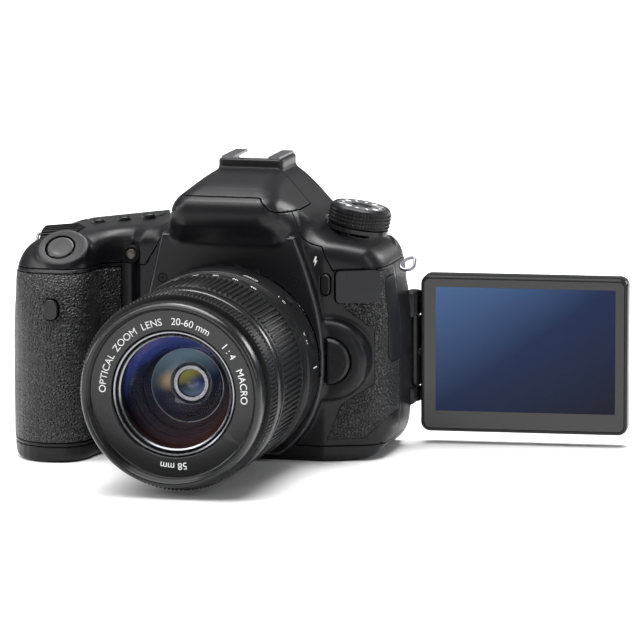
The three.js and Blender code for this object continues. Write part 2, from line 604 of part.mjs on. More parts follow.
addAimed('mode_dial', modeDial(), SATIN, DIAL_UP, DIAL.x, DIAL.y, DIAL.z);
addAimed('mode_dial_button', cap(3, 8.2, 0.5), SATIN, DIAL_UP, DIAL.x + 0.174, DIAL.y, DIAL.z + 0.985);
addAimed('power_lever', powerLever(), SATIN, DIAL_UP, DIAL.x, DIAL.y, DIAL.z);
addWorld('main_dial', mainDialCylinder(MAIN_DIAL.radius, MAIN_DIAL.width, 36), SATIN);

for (const [name, radius, height, edge, direction, [x, y, z], material] of BUTTONS) {
  addAimed(name, cap(radius, height, edge), material, direction, x, y, z);
}

addWorld('release_button', alongY(releaseOutline(0), -42.4, -34, 0.8, 8), SATIN);
addWorld('flash_button', alongY(capsule(33.4, 62.2, 1.6, 3.7), -38.6, -34, 0.4), SATIN);

const quickDial = [[9.8, 0.5], [14, 0.5], [14, 2.6], [12.6, 3.4], [9.8, 3.4]];
addAimed('quick_control_dial', turned(quickDial, 40), SATIN, BACK, -45, 11.4, 31);
const eightWay = [[5.3, 0.5], [9.3, 0.5], [9.3, 2.6], [8.7, 3], [5.3, 3]];
addAimed('multi_controller', turned(eightWay, 28), SATIN, BACK, -45, 11.4, 31);
const ringLever = solid(turned([[3.7, 0.3], [6, 0.3], [6, 1.8], [3.7, 1.8]], 24));
const leverTab = solid(block(-0.9, 0.9, 0.9, 2.4, -7.8, -5.2));
addAimed('live_view_lever', toGeometry(join(ringLever, leverTab)), SATIN, BACK, -31.5, 12.2, 58.5);
addWorld('lock_slider', alongY(roundedRect(-50.9, 10, -44, 13, 1.2), 12, 14.6, 0.4), SATIN);

// ---------------------------------------------------------------- doors and covers that open
addWorld('battery_door', alongZ(roundedRect(-72.9, -49, -51.5, -11, 1), 0.3, 2.9), SATIN);
addWorld('card_door', toGeometry(cut(common(outer, cardRegion(0)), shifted(outer, 2, 0, 0))), SATIN);
addWorld('port_cover', toGeometry(cut(common(outer, portRegion(0)), shifted(outer, -1.8, 0.6, 0))), RUBBER);

// ---------------------------------------------------------------- screen
function alongScreen(geometry) {
  return geometry.rotateZ(OPEN_ANGLE).translate(HINGE.x, HINGE.y, 0);
}

function screenArm() {
  const upright = (radius, low, high) =>
    alongZ(new THREE.Shape().absarc(0, 0, radius, 0, 2 * Math.PI, false), low, high, 0, PLAIN);
  const pin = cylinderAlongX(1.8, 0, 9, 0, SCREEN.z, PLAIN);
  const arm = join(solid(upright(2.35, HINGE.low, HINGE.high)), solid(upright(1, 18, 47.6)), solid(pin));
  return alongScreen(toGeometry(arm));
}

function screenHousing() {
  const half = SCREEN.height / 2;
  const near = SCREEN.inset;
  const far = SCREEN.inset + SCREEN.width;
  const slab = solid(alongY(roundedRect(near, SCREEN.z - half, far, SCREEN.z + half, 3), -SCREEN.thick / 2,
    SCREEN.thick / 2, 0.8));
  const rim = 1.2;
  const window = roundedRect(near + rim, SCREEN.z - half + rim, far - rim, SCREEN.z + half - rim, 2.4);
  const seat = solid(alongY(window, -10, -SCREEN.thick / 2 + 1.6));
  const bore = solid(cylinderAlongX(2.15, 0, 12.2, 0, SCREEN.z, PLAIN));
  return alongScreen(toGeometry(cut(slab, seat, bore)));
}

function screenGlass() {
  const half = SCREEN.height / 2 - 1.5;
  const front = -SCREEN.thick / 2;
  const outline = roundedRect(SCREEN.inset + 1.5, SCREEN.z - half, SCREEN.inset + SCREEN.width - 1.5,
    SCREEN.z + half, 2.1);
  return alongScreen(alongY(outline, front + 0.1, front + 1.3, 0.2));
}

addWorld('screen_arm', screenArm(), SATIN);
addWorld('screen_housing', screenHousing(), GLOSS);
addWorld('screen_glass', screenGlass(), GLASS);

// ---------------------------------------------------------------- lens
const onAxis = (geometry) => geometry.translate(0, 0, AXIS_Z);
const SWITCHES = [['stabilizer_switch', 46], ['focus_mode_switch', 20]];   // angle above +X, degrees

// A small block standing on the barrel at an angle round the lens axis.
function onBarrel(angle, halfTangent, halfAlong, low, high, slide = 0) {
  const pad = block(low, high, -halfAlong, halfAlong, slide - halfTangent, slide + halfTangent);
  return onAxis(pad.translate(0, -55.5, 0).rotateY(-THREE.MathUtils.degToRad(angle)));
}

function lensBarrel() {
  const shoulder = ZOOM.back + GAP;
  const end = ZOOM.front + GAP;
  const profile = [[23.5, -46.3], [31.8, -46.3], [33.4, -48], [LENS.barrel, -51],
    [LENS.barrel, shoulder + 0.6], [LENS.zoom, shoulder], [28.6, shoulder], [28.6, end], [27, end], [27, -50],
    [23.5, -50]];
  const slots = SWITCHES.map(([, angle]) => solid(onBarrel(angle, 3.6, 2.2, 33, 40)));
  return toGeometry(cut(solid(onAxis(turned(profile, FINE))), ...slots));
}

function innerBarrel() {
  const flareBack = ZOOM.front - GAP;
  const flareFront = FOCUS.back + GAP;
  const rimBack = FOCUS.front - GAP;
  const tube = [[25.2, -62], [26.6, -62], [26.6, flareBack]];
  const flare = [[33.3, flareBack], [33.6, flareBack - 0.7], [33.6, flareFront + 0.5], [33.3, flareFront]];
  const rim = [[29.2, flareFront], [29.2, rimBack], [31.4, rimBack], [31.7, rimBack - 0.7], [31.6, -116],
    [LENS.rim, LENS.front], [LENS.thread + 0.2, LENS.front], [LENS.thread, LENS.front + 0.4]];
  const nameRing = [[LENS.thread, -113.6], [21.6, -113.6], [20.6, -112.4], [20, -110.2]];
  return onAxis(turned([...tube, ...flare, ...rim, ...nameRing, [20, -103], [25.2, -99]], FINE));
}

function frontElement() {
  const sag = (r) => 1 - Math.sqrt(1 - (r / 24) ** 2);
  const dome = (r) => -110.6 + 4.2 * sag(r) / sag(LENS.glass);
  const radii = [0, 5, 10, 15, LENS.glass];
  const profile = radii.map((r) => [r, dome(r)]);
  return onAxis(turned([...profile, [LENS.glass, -103.4], [0, -103.4]], FINE));
}

addWorld('lens_barrel', lensBarrel(), SATIN);
const tailFace = FLANGE_Y - GAP;
const tail = [[22.4, -38.6], [26.4, -38.6], [26.4, tailFace], [31.4, tailFace], [31.4, -46], [24.4, -46],
  [22.4, -44]];
addWorld('lens_mount', onAxis(turned(tail, FINE)), STEEL);
addWorld('zoom_ring', onAxis(ringAlongY(LENS.zoom, 29, ZOOM.front, ZOOM.back)), RUBBER);
addWorld('inner_barrel', innerBarrel(), SATIN);
addWorld('focus_ring', onAxis(ringAlongY(LENS.focus, 29.6, FOCUS.front, FOCUS.back)), RUBBER);
addWorld('front_element', frontElement(), GLASS);
for (const [name, angle] of SWITCHES) addWorld(name, onBarrel(angle, 1.4, 1.8, 33.4, 34.7, -1.2), SATIN);

export default group;
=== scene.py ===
# A digital single-lens reflex camera: the visual model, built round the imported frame.
import json
import math

import bmesh
import bpy
import numpy as np
from mathutils import Matrix, Vector


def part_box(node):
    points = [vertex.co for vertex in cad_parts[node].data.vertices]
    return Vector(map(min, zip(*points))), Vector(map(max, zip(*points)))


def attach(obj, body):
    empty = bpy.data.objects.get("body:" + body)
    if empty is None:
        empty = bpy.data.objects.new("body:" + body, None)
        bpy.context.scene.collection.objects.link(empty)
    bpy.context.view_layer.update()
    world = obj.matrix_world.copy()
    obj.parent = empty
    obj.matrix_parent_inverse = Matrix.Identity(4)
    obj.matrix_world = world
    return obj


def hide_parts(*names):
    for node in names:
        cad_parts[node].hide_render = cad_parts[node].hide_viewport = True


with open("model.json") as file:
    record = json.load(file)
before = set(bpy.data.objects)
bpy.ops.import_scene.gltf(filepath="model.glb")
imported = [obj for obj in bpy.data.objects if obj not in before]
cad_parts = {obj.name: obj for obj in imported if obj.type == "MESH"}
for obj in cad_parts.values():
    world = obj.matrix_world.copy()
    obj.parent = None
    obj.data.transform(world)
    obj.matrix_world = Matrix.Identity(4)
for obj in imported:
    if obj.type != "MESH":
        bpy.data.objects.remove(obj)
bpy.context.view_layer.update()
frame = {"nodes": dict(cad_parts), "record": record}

# ---------------------------------------------------------------- driving dimensions, millimetres
MM = 0.001
GAP = 0.3                     # seam between two covers
VOXEL = 0.75                  # spacing of the points on the body's surface
AXIS_Z = 35.3                 # height of the lens axis
BASE_SEAM, TOP_SEAM, REAR_SEAM = 5.5, 67.0, -13.0
WALL = 1.3                    # thickness of a cover
DIAL_TILT = math.radians(10)
DIAL_UP = (math.sin(DIAL_TILT), 0.0, math.cos(DIAL_TILT))
DIAL = (38.2, -11.0, 77.6)
DIAL_RADIUS = 11.0
GRIP_SLOPE = math.radians(41)
GRIP_UP = (0.0, -math.sin(GRIP_SLOPE), math.cos(GRIP_SLOPE))
OPEN_ANGLE = math.radians(5)  # the open screen, turned from +X
SHOE_Z = 98.6                 # underside of the accessory shoe
HINGE = (54.0, 9.0, 32.3)
SCREEN_REACH = 28.5           # from the middle of the folded screen to the bands above and below it
UP, FORWARD, BACK = (0, 0, 1), (0, -1, 0), (0, 1, 0)
RELEASE_BOSS = (34.3, 36)     # x and z of the boss round the lens release
FRONT_CUT = (-60, -30)        # how far the holes in the front reach along Y
MASK_SCREW = (23.6, -42.4, 63.3)
BAY_DEPTH = 5.5               # the flash bay's floor under the head's surface

# Camera, fitted to the viewing angle of the photograph
CAMERA_PLACE = (510.3, -1915.0, 360.4)
CAMERA_TURN, CAMERA_RISE, CAMERA_ROLL = math.radians(14.31), math.radians(9.11), math.radians(-0.15)
CAMERA_LENS = 319.4


# ---------------------------------------------------------------- outlines and distance fields
def trace(parts, steps=10):
    """A closed outline from points (u, v) and curves (control, control, end) as six numbers."""
    points = []
    for part in parts:
        if len(part) == 2:
            points.append(part)
            continue
        a = np.array(points[-1], float)
        b, c, d = np.array(part, float).reshape(3, 2)
        for t in np.linspace(0, 1, steps + 1)[1:]:
            s = 1 - t
            points.append(tuple(s ** 3 * a + 3 * s * s * t * b + 3 * s * t * t * c + t ** 3 * d))
    return np.array(points, float)


def rounded(left, low, right, high, radius, steps=6):
    """A rectangle with round corners."""
    points = []
    centres = [(right - radius, low + radius), (right - radius, high - radius),
               (left + radius, high - radius), (left + radius, low + radius)]
    for corner, (u, v) in enumerate(centres):
        for t in np.linspace(0, math.pi / 2, steps + 1):
            angle = (corner - 1) * math.pi / 2 + t
            points.append((u + radius * math.cos(angle), v + radius * math.sin(angle)))
    return np.array(points)


def outline_distance(u, v, points):
    """Signed distance to a closed outline, negative inside."""
    nearest = np.inf
    inside = False
    for (ax, ay), (bx, by) in zip(points, np.roll(points, -1, axis=0)):
        ex, ey = bx - ax, by - ay
        if ex * ex + ey * ey < 1e-12:
            continue
        wu, wv = u - ax, v - ay
        t = np.clip((wu * ex + wv * ey) / (ex * ex + ey * ey), 0, 1)
        nearest = np.minimum(nearest, (wu - ex * t) ** 2 + (wv - ey * t) ** 2)
        if ay != by:
            inside = inside ^ (((ay > v) != (by > v)) & (u < ex * (v - ay) / ey + ax))
    return np.where(inside, -1.0, 1.0) * np.sqrt(nearest)


def soft_max(a, b, blend):
    """The larger of two fields, with a fillet where they meet."""
    h = np.maximum(blend - np.abs(a - b), 0) / blend
    return np.maximum(a, b) + h * h * blend / 4


def soft_min(a, b, blend):
    return -soft_max(-a, -b, blend)


def slab(v, low, high):
    return np.maximum(low - v, v - high)


def disc(u, v, centre_u, centre_v, radius):
    return np.hypot(u - centre_u, v - centre_v) - radius


def along(x, y, z, direction, origin):
    """Height along a direction from an origin, and distance from that axis."""
    dx, dy, dz = x - origin[0], y - origin[1], z - origin[2]
    height = dx * direction[0] + dy * direction[1] + dz * direction[2]
    away = np.sqrt(np.maximum(dx * dx + dy * dy + dz * dz - height * height, 0))
    return height, away


# ---------------------------------------------------------------- outer form of the body
PLAN = trace([(-24.6, 13), (-58, 13), (-70, 13, -76, -4, -78.2, -32), (-78.8, -46, -72.6, -62, -60.5, -62),
              (-51, -62, -47.6, -56, -47.2, -46), (-46.8, -38, -42, -34, -37, -34), (-33, -38), (33, -38),
              (46, -32.8), (52, -30, 54.5, -26, 54.5, -16), (54.5, 3.9), (-24.6, 3.9)])
SHOULDER = ((-28, 81.6), (-60, 77.4))                      # the top falls from the hump to the grip
FRONT = trace([(36, -3), (42, 0), (49, 0, 53.5, 4, 54.5, 13), (57, 30), (57, 50), (54.5, 59),
               (54.2, 65.5, 52, 70.4, 46.5, 74), (27, 78.6), *SHOULDER, (-69.5, 76.4, -76, 73.2, -77.6, 62.5),
               (-79, 45), (-79, 25), (-77, 7), (-76, 1.5, -74, 0, -70, -1), (-70, -3)])
SIDE = trace([(-75, -10), (-66, 30), (-62, 56), (-62, 61.5, -60.5, 63.2, -58, 65.4), (-43.8, 77.7),
              (-41.5, 79.6, -38, 80.6, -34, 81.4), (-26, 82.5), (-2, 82.5), (6, 82, 13, 76, 13, 68), (18, 40),
              (18, -10)])
HUMP_FRONT = trace([(-29, 66), (-28, 74), (-24, 80.5), (-21.6, 84.5), (-20.4, 88.5, -19, 91, -16.6, 93.2),
                    (-13.8, 95.8, -12.6, 98, -10.4, SHOE_Z + 0.7), (10.2, SHOE_Z + 0.7),
                    (13, 97.4, 15, 94.8, 18, 91.6), (21, 88.4, 24, 84.6, 29, 80.5), (31, 76), (33, 66)])
HUMP_SIDE = trace([(-37, 66), (-37, 70), (-42, 76, -46.5, 80, -50, 82.6), (-52.3, 85, -52.3, 90, -49.5, 91.8),
                   (-40, 96.2, -30, 99, -16, SHOE_Z + 1), (6, SHOE_Z + 1),
                   (9, 97.8, 12.5, 94, 12.5, 88), (12.5, 66)])
HUMP_PLAN = trace([(-15, -54), (14.5, -54), (19.5, -47), (24, -34), (33, -27), (33, 16), (-31, 16),
                   (-31, -28), (-24, -34), (-20.5, -47)])
MASK = trace([(-24, 79), (-29.5, 56), (-35.5, 46, -35.5, 22, -31, 8), (-25, 2.5), (18, 2.5),
              (29, 9, 34.2, 22, 34.2, 35.3), (34.2, 52, 28, 68, 23.6, 79)])
BANDS = [(50.0, -10.0, HINGE[2] - SCREEN_REACH), (51.5, HINGE[2] + SCREEN_REACH, 90.0)]


PAD_AT = (-57.6, -49.0, 73.2)  # middle of the raised pad round the shutter button


def shutter_pad(x, y, z):
    """A shallow oval dish that stands a little proud of the sloping front of the grip."""
    across = (x - PAD_AT[0]) / 1.12
    down = (y - PAD_AT[1]) * math.cos(GRIP_SLOPE) + (z - PAD_AT[2]) * math.sin(GRIP_SLOPE)
    height, _ = along(x, y, z, GRIP_UP, PAD_AT)
    away = np.hypot(across, down)
    top = height - 0.35 - 0.012 * away * away
    return np.maximum(soft_max(away - 8.3, top, 1.2), -4 - height)


def body_field(x, y, z):
    """Signed distance to the outside of the whole body, without its seams."""
    walls = outline_distance(x, y, PLAN)
    for right, low, high in BANDS:
        band = np.maximum(outline_distance(x, y, rounded(-25.6, 0, right, 10.5, 0.5)), slab(z, low, high))
        walls = soft_min(walls, band, 0.8)
    high = np.clip((z - 30) / 30, 0, 1)
    edge = 2 + 5 * high
    case = soft_max(walls, outline_distance(x, z, FRONT), edge)
    case = soft_max(case, outline_distance(y, z, SIDE), edge)
    case = soft_max(case, -z, 2.0)
    sweep = np.maximum(disc(x, y, HINGE[0], HINGE[1], 5.8), slab(z - HINGE[2], -SCREEN_REACH, SCREEN_REACH))
    case = soft_max(case, -sweep, 1.0)
    hump = soft_max(outline_distance(x, z, HUMP_FRONT), outline_distance(y, z, HUMP_SIDE), 4.0)
    hump = soft_max(hump, outline_distance(x, y, HUMP_PLAN), 5.0)
    form = soft_min(case, hump, 6.0)
    height, away = along(x, y, z, DIAL_UP, DIAL)
    form = soft_max(form, -np.maximum(away - DIAL_RADIUS - 0.7, -height), 0.8)
    mask = soft_max(outline_distance(x, z, MASK), slab(y, -42.5, -34), 1.4)
    form = soft_min(form, mask, 0.8)
    boss = soft_max(disc(x, z, *RELEASE_BOSS, 14.2), slab(y, -40.6, -30), 3.0)
    form = soft_min(form, boss, 1.5)
    shoe = soft_max(soft_max(slab(x, -11.6, 11.6), slab(y, -13, 8), 2.0), slab(z, 94, SHOE_Z + 3), 0.8)
    form = soft_min(form, shoe, 1.0)
    form = soft_min(form, shutter_pad(x, y, z), 1.6)
    for low, high in [(14.4, 20.2), (45.4, 54.2)]:
        neck = np.maximum(slab(x, HINGE[0] - 1.6, HINGE[0] + 1.6), slab(y, 1, HINGE[1]))
        lug = soft_max(soft_min(disc(x, y, HINGE[0], HINGE[1], 2.3), neck, 1.0), slab(z, low, high), 0.8)
        form = soft_min(form, lug, 1.0)
    return form


def surface(field, low, high, step):
    """Surface nets: points on the zero level of a field and the four-sided faces between them."""
    axes = [np.arange(a, b + step, step) for a, b in zip(low, high)]
    x, y, z = axes[0][:, None, None], axes[1][None, :, None], axes[2][None, None, :]
    inside = field(x, y, z) < 0
    corners = [inside[i:inside.shape[0] - 1 + i, j:inside.shape[1] - 1 + j, k:inside.shape[2] - 1 + k]
               for i in (0, 1) for j in (0, 1) for k in (0, 1)]
    count = sum(c.astype(np.int8) for c in corners)
    mixed = (count > 0) & (count < 8)
    index = np.full(mixed.shape, -1, np.int64)
    cells = np.argwhere(mixed)
    index[mixed] = np.arange(len(cells))
    points = np.array(low) + (cells + 0.5) * step
    faces = []
    for axis in range(3):
        first = np.take(inside, range(inside.shape[axis] - 1), axis)
        second = np.take(inside, range(1, inside.shape[axis]), axis)
        u, v = (axis + 1) % 3, (axis + 2) % 3
        at = np.argwhere(first != second)
        keep = (at[:, u] > 0) & (at[:, v] > 0)
        keep &= (at[:, u] < inside.shape[u] - 1) & (at[:, v] < inside.shape[v] - 1)
        at = at[keep]
        ring = []
        for du, dv in [(0, 0), (-1, 0), (-1, -1), (0, -1)]:
            cell = at.copy()
            cell[:, u] += du
            cell[:, v] += dv
            ring.append(index[tuple(cell.T)])
        quads = np.stack(ring, axis=1)
        outward = first[tuple(at.T)]
        quads[~outward] = quads[~outward][:, ::-1]
        faces.append(quads)
    for _ in range(4):
        value, slope = field_slope(field, points)
        length = np.maximum((slope ** 2).sum(1), 0.2)
        move = np.clip(value / length, -step, step)
        points = points - slope * move[:, None]
    return points, np.concatenate(faces)


def field_slope(field, points, reach=0.05):
    """Value and gradient of a field at many points."""
    x, y, z = points.T
    slope = []
    for axis in range(3):
        ahead, behind = points.copy(), points.copy()
        ahead[:, axis] += reach
        behind[:, axis] -= reach
        slope.append((field(*ahead.T) - field(*behind.T)) / (2 * reach))
    return field(x, y, z), np.stack(slope, axis=1)


def clip(points, faces, field):
    """The part of a mesh where a field is negative, cut cleanly along its zero level."""
    value = field(*points.T)
    value = np.where(np.abs(value) < 1e-6, 1e-6, value)
    inside = value < 0
    whole, crossing = [], []
    for face in faces:
        sides = [inside[i] for i in face]
        if all(sides):
            whole.append(face)
        elif any(sides):
            crossing.append(face)
    edges = sorted({(min(a, b), max(a, b)) for face in crossing
                    for a, b in zip(face, face[1:] + face[:1]) if inside[a] != inside[b]})
    if not edges:
        return points, whole
    ends = np.array(edges)
    inner = np.where(inside[ends[:, 0]], ends[:, 0], ends[:, 1])
    outer = np.where(inside[ends[:, 0]], ends[:, 1], ends[:, 0])
    near, far = points[inner], points[outer]
    low, high = np.zeros(len(ends)), np.ones(len(ends))
    for _ in range(12):
        middle = (low + high) / 2
        within = field(*(near + (far - near) * middle[:, None]).T) < 0
        low, high = np.where(within, middle, low), np.where(within, high, middle)
    added = near + (far - near) * low[:, None]
    number = {edge: len(points) + i for i, edge in enumerate(edges)}
    for face in crossing:
        kept = []
        for a, b in zip(face, face[1:] + face[:1]):
            if inside[a]:
                kept.append(a)
            if inside[a] != inside[b]:
                kept.append(number[(min(a, b), max(a, b))])
        if len(kept) > 2:
            whole.append(kept)
    return np.concatenate([points, added]), whole


# ---------------------------------------------------------------- meshes in code
def to_mesh(name, points, faces):
    mesh = bpy.data.meshes.new(name)
    corners = [tuple(p) for p in np.asarray(points, float) * MM]
    mesh.from_pydata(corners, [], [list(map(int, f)) for f in faces])
    work = bmesh.new()
    work.from_mesh(mesh)
    bmesh.ops.remove_doubles(work, verts=work.verts, dist=1e-7)
    loose = [v for v in work.verts if not v.link_faces]
    bmesh.ops.delete(work, geom=loose, context='VERTS')
    bmesh.ops.recalc_face_normals(work, faces=work.faces)
    work.to_mesh(mesh)
    work.free()
    return mesh


def add_piece(name, shape, material, body, slot, replaces=(), bevel=0.0, wall=0.0, split=32):
    """One piece of the visual model, in millimetres, riding on a body."""
    points, faces = shape
    obj = bpy.data.objects.new(name, to_mesh(name, points, faces))
    bpy.context.scene.collection.objects.link(obj)
    obj.data.materials.append(material)
    dress(obj, bevel, wall, split)
    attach(obj, body)
    if replaces:
        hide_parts(*replaces)
    return obj


def dress(obj, bevel=0.0, wall=0.0, split=32):
    """Wall thickness, rounded edges and smooth shading between them."""
    for face in obj.data.polygons:
        face.use_smooth = True
    if wall:
        thick = obj.modifiers.new("wall", 'SOLIDIFY')
        thick.thickness = wall * MM
        thick.offset = -1
        thick.use_even_offset = False
    if bevel:
        edge = obj.modifiers.new("edge", 'BEVEL')
        edge.width = bevel * MM
        edge.segments = 2
        edge.limit_method = 'ANGLE'
        edge.angle_limit = math.radians(38)
        edge.use_clamp_overlap = not wall
    crisp = obj.modifiers.new("crisp", 'EDGE_SPLIT')
    crisp.split_angle = math.radians(split)
    crisp.use_edge_sharp = False


def placed(shape, axis=UP, origin=(0, 0, 0), turn=0.0):
    """A shape built along local Z, laid along an axis at an origin."""
    points, faces = shape
    spin = Matrix.Rotation(turn, 3, 'Z')
    lay = Vector((0, 0, 1)).rotation_difference(Vector(axis)).to_matrix()
    return np.asarray(points) @ np.array(lay @ spin).T + np.array(origin), faces


def merged(*shapes):
    points, faces, start = [], [], 0
    for p, f in shapes:
        points.append(np.asarray(p, float))
        faces.extend([i + start for i in face] for face in f)
        start += len(p)
    return np.concatenate(points), faces


def grid_faces(rows, columns, loop_rows=False, loop_columns=True):
    last_row = rows if loop_rows else rows - 1
    last_column = columns if loop_columns else columns - 1
    return [[r * columns + c, r * columns + (c + 1) % columns,
             (r + 1) % rows * columns + (c + 1) % columns, (r + 1) % rows * columns + c]
            for r in range(last_row) for c in range(last_column)]


def lathe(profile, facets=96):
    """A profile of (radius, height) turned round local Z, closed unless it starts on the axis."""
    angle = np.arange(facets) * 2 * math.pi / facets
    points = [np.stack([r * np.cos(angle), r * np.sin(angle), np.full(facets, h)], 1) for r, h in profile]
    closed = profile[0][0] > 0
    return np.concatenate(points), grid_faces(len(profile), facets, loop_rows=closed)


def cap_profile(radius, low, high, edge=0.6, dish=0.0, steps=4):
    """Profile of a round button with a rolled edge and a dished top."""
    profile = [(0, low), (radius, low)]
    for t in np.linspace(0, math.pi / 2, steps + 1):
        profile.append((radius - edge + edge * math.cos(t), high - edge + edge * math.sin(t)))
    for t in (0.75, 0.5, 0.25, 0.0):
        profile.append(((radius - edge) * t, high - dish * (1 - t * t)))
    return profile


def ribbed(stations, ribs, base, depth, duty=0.5):
    """A ring with ribs along local Z. Stations are (height, share of the rib's depth)."""
    step = 2 * math.pi / ribs
    angles, heights = [], []
    for rib in range(ribs):
        for share, height in [(0, 0), (0.14, 1), (duty, 1), (duty + 0.14, 0)]:
            angles.append((rib + share) * step)
            heights.append(height)
    angles, heights = np.array(angles), np.array(heights)
    rows = []
    for z, share in stations:
        radius = base + depth * heights * share
        rows.append(np.stack([radius * np.cos(angles), radius * np.sin(angles), np.full(len(angles), z)], 1))
    return np.concatenate(rows), grid_faces(len(stations), len(angles))


def frame_sweep(box, radius, profile, steps=8, closed=False):
    """Rounded rectangles stacked along local Z, from a profile of (inset, height), capped unless closed."""
    left, low, right, high = box
    loops = []
    for inset, z in profile:
        corner = max(radius - inset, 0.05)
        loop = rounded(left + inset, low + inset, right - inset, high - inset, corner, steps)
        loops.append(np.column_stack([loop, np.full(len(loop), z)]))
    columns = len(loops[0])
    faces = grid_faces(len(loops), columns, loop_rows=closed)
    if not closed:
        faces.append(list(range(columns))[::-1])
        faces.append(list(range((len(loops) - 1) * columns, len(loops) * columns)))
    return np.concatenate(loops), faces


def plate(outline, low, high):
    """A flat plate from a closed outline, along local Z."""
    count = len(outline)
    points = np.concatenate([np.column_stack([outline, np.full(count, z)]) for z in (low, high)])
    faces = grid_faces(2, count)
    return points, faces + [list(range(count))[::-1], list(range(count, 2 * count))]


def tube(path, radius, facets=10):
    """A closed loop of round wire through points."""
    path = np.asarray(path, float)
    ahead = np.roll(path, -1, 0) - np.roll(path, 1, 0)
    ahead /= np.linalg.norm(ahead, axis=1)[:, None]
    normal = np.cross(path[1] - path[0], path[3] - path[0])
    normal /= np.linalg.norm(normal)
    side = np.cross(ahead, normal)
    angle = np.arange(facets) * 2 * math.pi / facets
    rings = path[:, None] + radius * (np.cos(angle)[None, :, None] * side[:, None]
                                      + np.sin(angle)[None, :, None] * normal[None, None])
    return rings.reshape(-1, 3), grid_faces(len(path), facets, loop_rows=True)


# ---------------------------------------------------------------- materials
class Finish:
    """A procedural material: a Principled shader and the texture nodes that drive it."""

    def __init__(self, name, colour, roughness, **settings):
        self.material = bpy.data.materials.new(name)
        self.material.use_nodes = True
        self.tree = self.material.node_tree
        self.shader = self.tree.nodes["Principled BSDF"]
        self.colour = (*colour, 1.0)
        self.shader.inputs["Base Color"].default_value = self.colour
        self.shader.inputs["Roughness"].default_value = roughness
        self.roughness = roughness
        for key, value in settings.items():
            self.shader.inputs[key.replace("_", " ")].default_value = value
        self.place = self.tree.nodes.new("ShaderNodeTexCoord").outputs["Object"]
        self.normal = None

    def node(self, kind, inputs=(), **attributes):
        made = self.tree.nodes.new(kind)
        for key, value in attributes.items():
            setattr(made, key, value)
        for key, value in dict(inputs).items():
            if isinstance(value, bpy.types.NodeSocket):
                self.tree.links.new(value, made.inputs[key])
            else:
                made.inputs[key].default_value = value
        return made

    def noise(self, scale, detail=2.0, stretch=None, roughness=0.5):
        place = self.place
        if stretch:
            mapping = self.node("ShaderNodeMapping", {"Vector": place, "Scale": stretch})
            place = mapping.outputs["Vector"]
        made = self.node("ShaderNodeTexNoise",
                         {"Vector": place, "Scale": scale, "Detail": detail, "Roughness": roughness})
        return made.outputs["Fac"]

    def between(self, value, low, high, new_low, new_high):
        made = self.node("ShaderNodeMapRange", {"Value": value, "From Min": low, "From Max": high,
                                                "To Min": new_low, "To Max": new_high})
        return made.outputs["Result"]

    def mixed(self, factor, first, second):
        made = self.node("ShaderNodeMix", {0: factor}, data_type='RGBA')
        for socket, value in ((made.inputs[6], first), (made.inputs[7], second)):
            if isinstance(value, bpy.types.NodeSocket):
                self.tree.links.new(value, socket)
            else:
                socket.default_value = value
        return made.outputs[2]

    def bump(self, height, strength, distance):
        made = self.node("ShaderNodeBump",
                         {"Height": height, "Strength": strength, "Distance": distance * MM})
        if self.normal:
            self.tree.links.new(self.normal, made.inputs["Normal"])
        self.normal = made.outputs["Normal"]
        self.tree.links.new(self.normal, self.shader.inputs["Normal"])

    def set(self, socket, value):
        self.tree.links.new(value, self.shader.inputs[socket])

    def vary(self, spread, tint=0.12, scale=45):
        """Uneven handling gloss and a slight change of shade over the surface."""
        patches = self.noise(scale, 3)
        low, high = self.roughness - spread, self.roughness + spread
        self.set("Roughness", self.between(patches, 0.3, 0.7, low, high))
        dark = tuple(c * (1 - tint) for c in self.colour[:3]) + (1,)
        light = tuple(c * (1 + tint) for c in self.colour[:3]) + (1,)
        return self.mixed(patches, dark, light)

    def wear(self, base, light, amount):
        """Lighter, rubbed edges."""
        edge = self.node("ShaderNodeNewGeometry").outputs["Pointiness"]
        rubbed = self.between(edge, 0.52, 0.62, 0, amount)
        self.set("Base Color", self.mixed(rubbed, base, (*light, 1)))


def moulded(name, colour, roughness, grain=0.35, depth=0.03, spread=0.06, wear=0.25, **settings):
    """Moulded plastic with a spark-eroded grain; grain and depth in millimetres."""
    finish = Finish(name, colour, roughness, **settings)
    shade = finish.vary(spread)
    finish.wear(shade, tuple(min(1, c * 3 + 0.03) for c in colour), wear)
    finish.bump(finish.noise(1 / (grain * MM), 3, roughness=0.6), 0.5, depth)
    finish.bump(finish.noise(90, 2), 0.15, 0.15)
    return finish.material


def leatherette(name, colour, pebble=1.1, depth=0.4):
    """Pebbled grip rubber: rounded cells with creases between them, the creases darkened with painted shade.
    """
    finish = Finish(name, colour, 0.42, Specular_IOR_Level=0.5)
    wobble = finish.node("ShaderNodeTexNoise", {"Vector": finish.place, "Scale": 700.0, "Detail": 1.0})
    moved = finish.node("ShaderNodeVectorMath", {0: wobble.outputs["Color"], "Scale": 0.5 * MM},
                        operation='SCALE')
    at = finish.node("ShaderNodeVectorMath", {0: finish.place, 1: moved.outputs[0]}, operation='ADD')
    cells = finish.node("ShaderNodeTexVoronoi", {"Vector": at.outputs[0], "Scale": 1 / (pebble * MM)},
                        feature='DISTANCE_TO_EDGE')
    crease = finish.between(cells.outputs["Distance"], 0.0, 0.28, 0, 1)
    fine = finish.noise(2600, 2)
    # painted shade: the colour is darker in the creases between the pebbles
    dark = tuple(c * 0.35 for c in colour) + (1,)
    shade = finish.mixed(crease, dark, (*colour, 1))
    finish.wear(shade, tuple(c * 2 + 0.02 for c in colour), 0.3)
    patches = finish.noise(60, 2)
    finish.set("Roughness", finish.between(patches, 0.3, 0.7, 0.36, 0.5))
    finish.bump(fine, 0.25, 0.04)
    finish.bump(crease, 1.0, depth)
    return finish.material


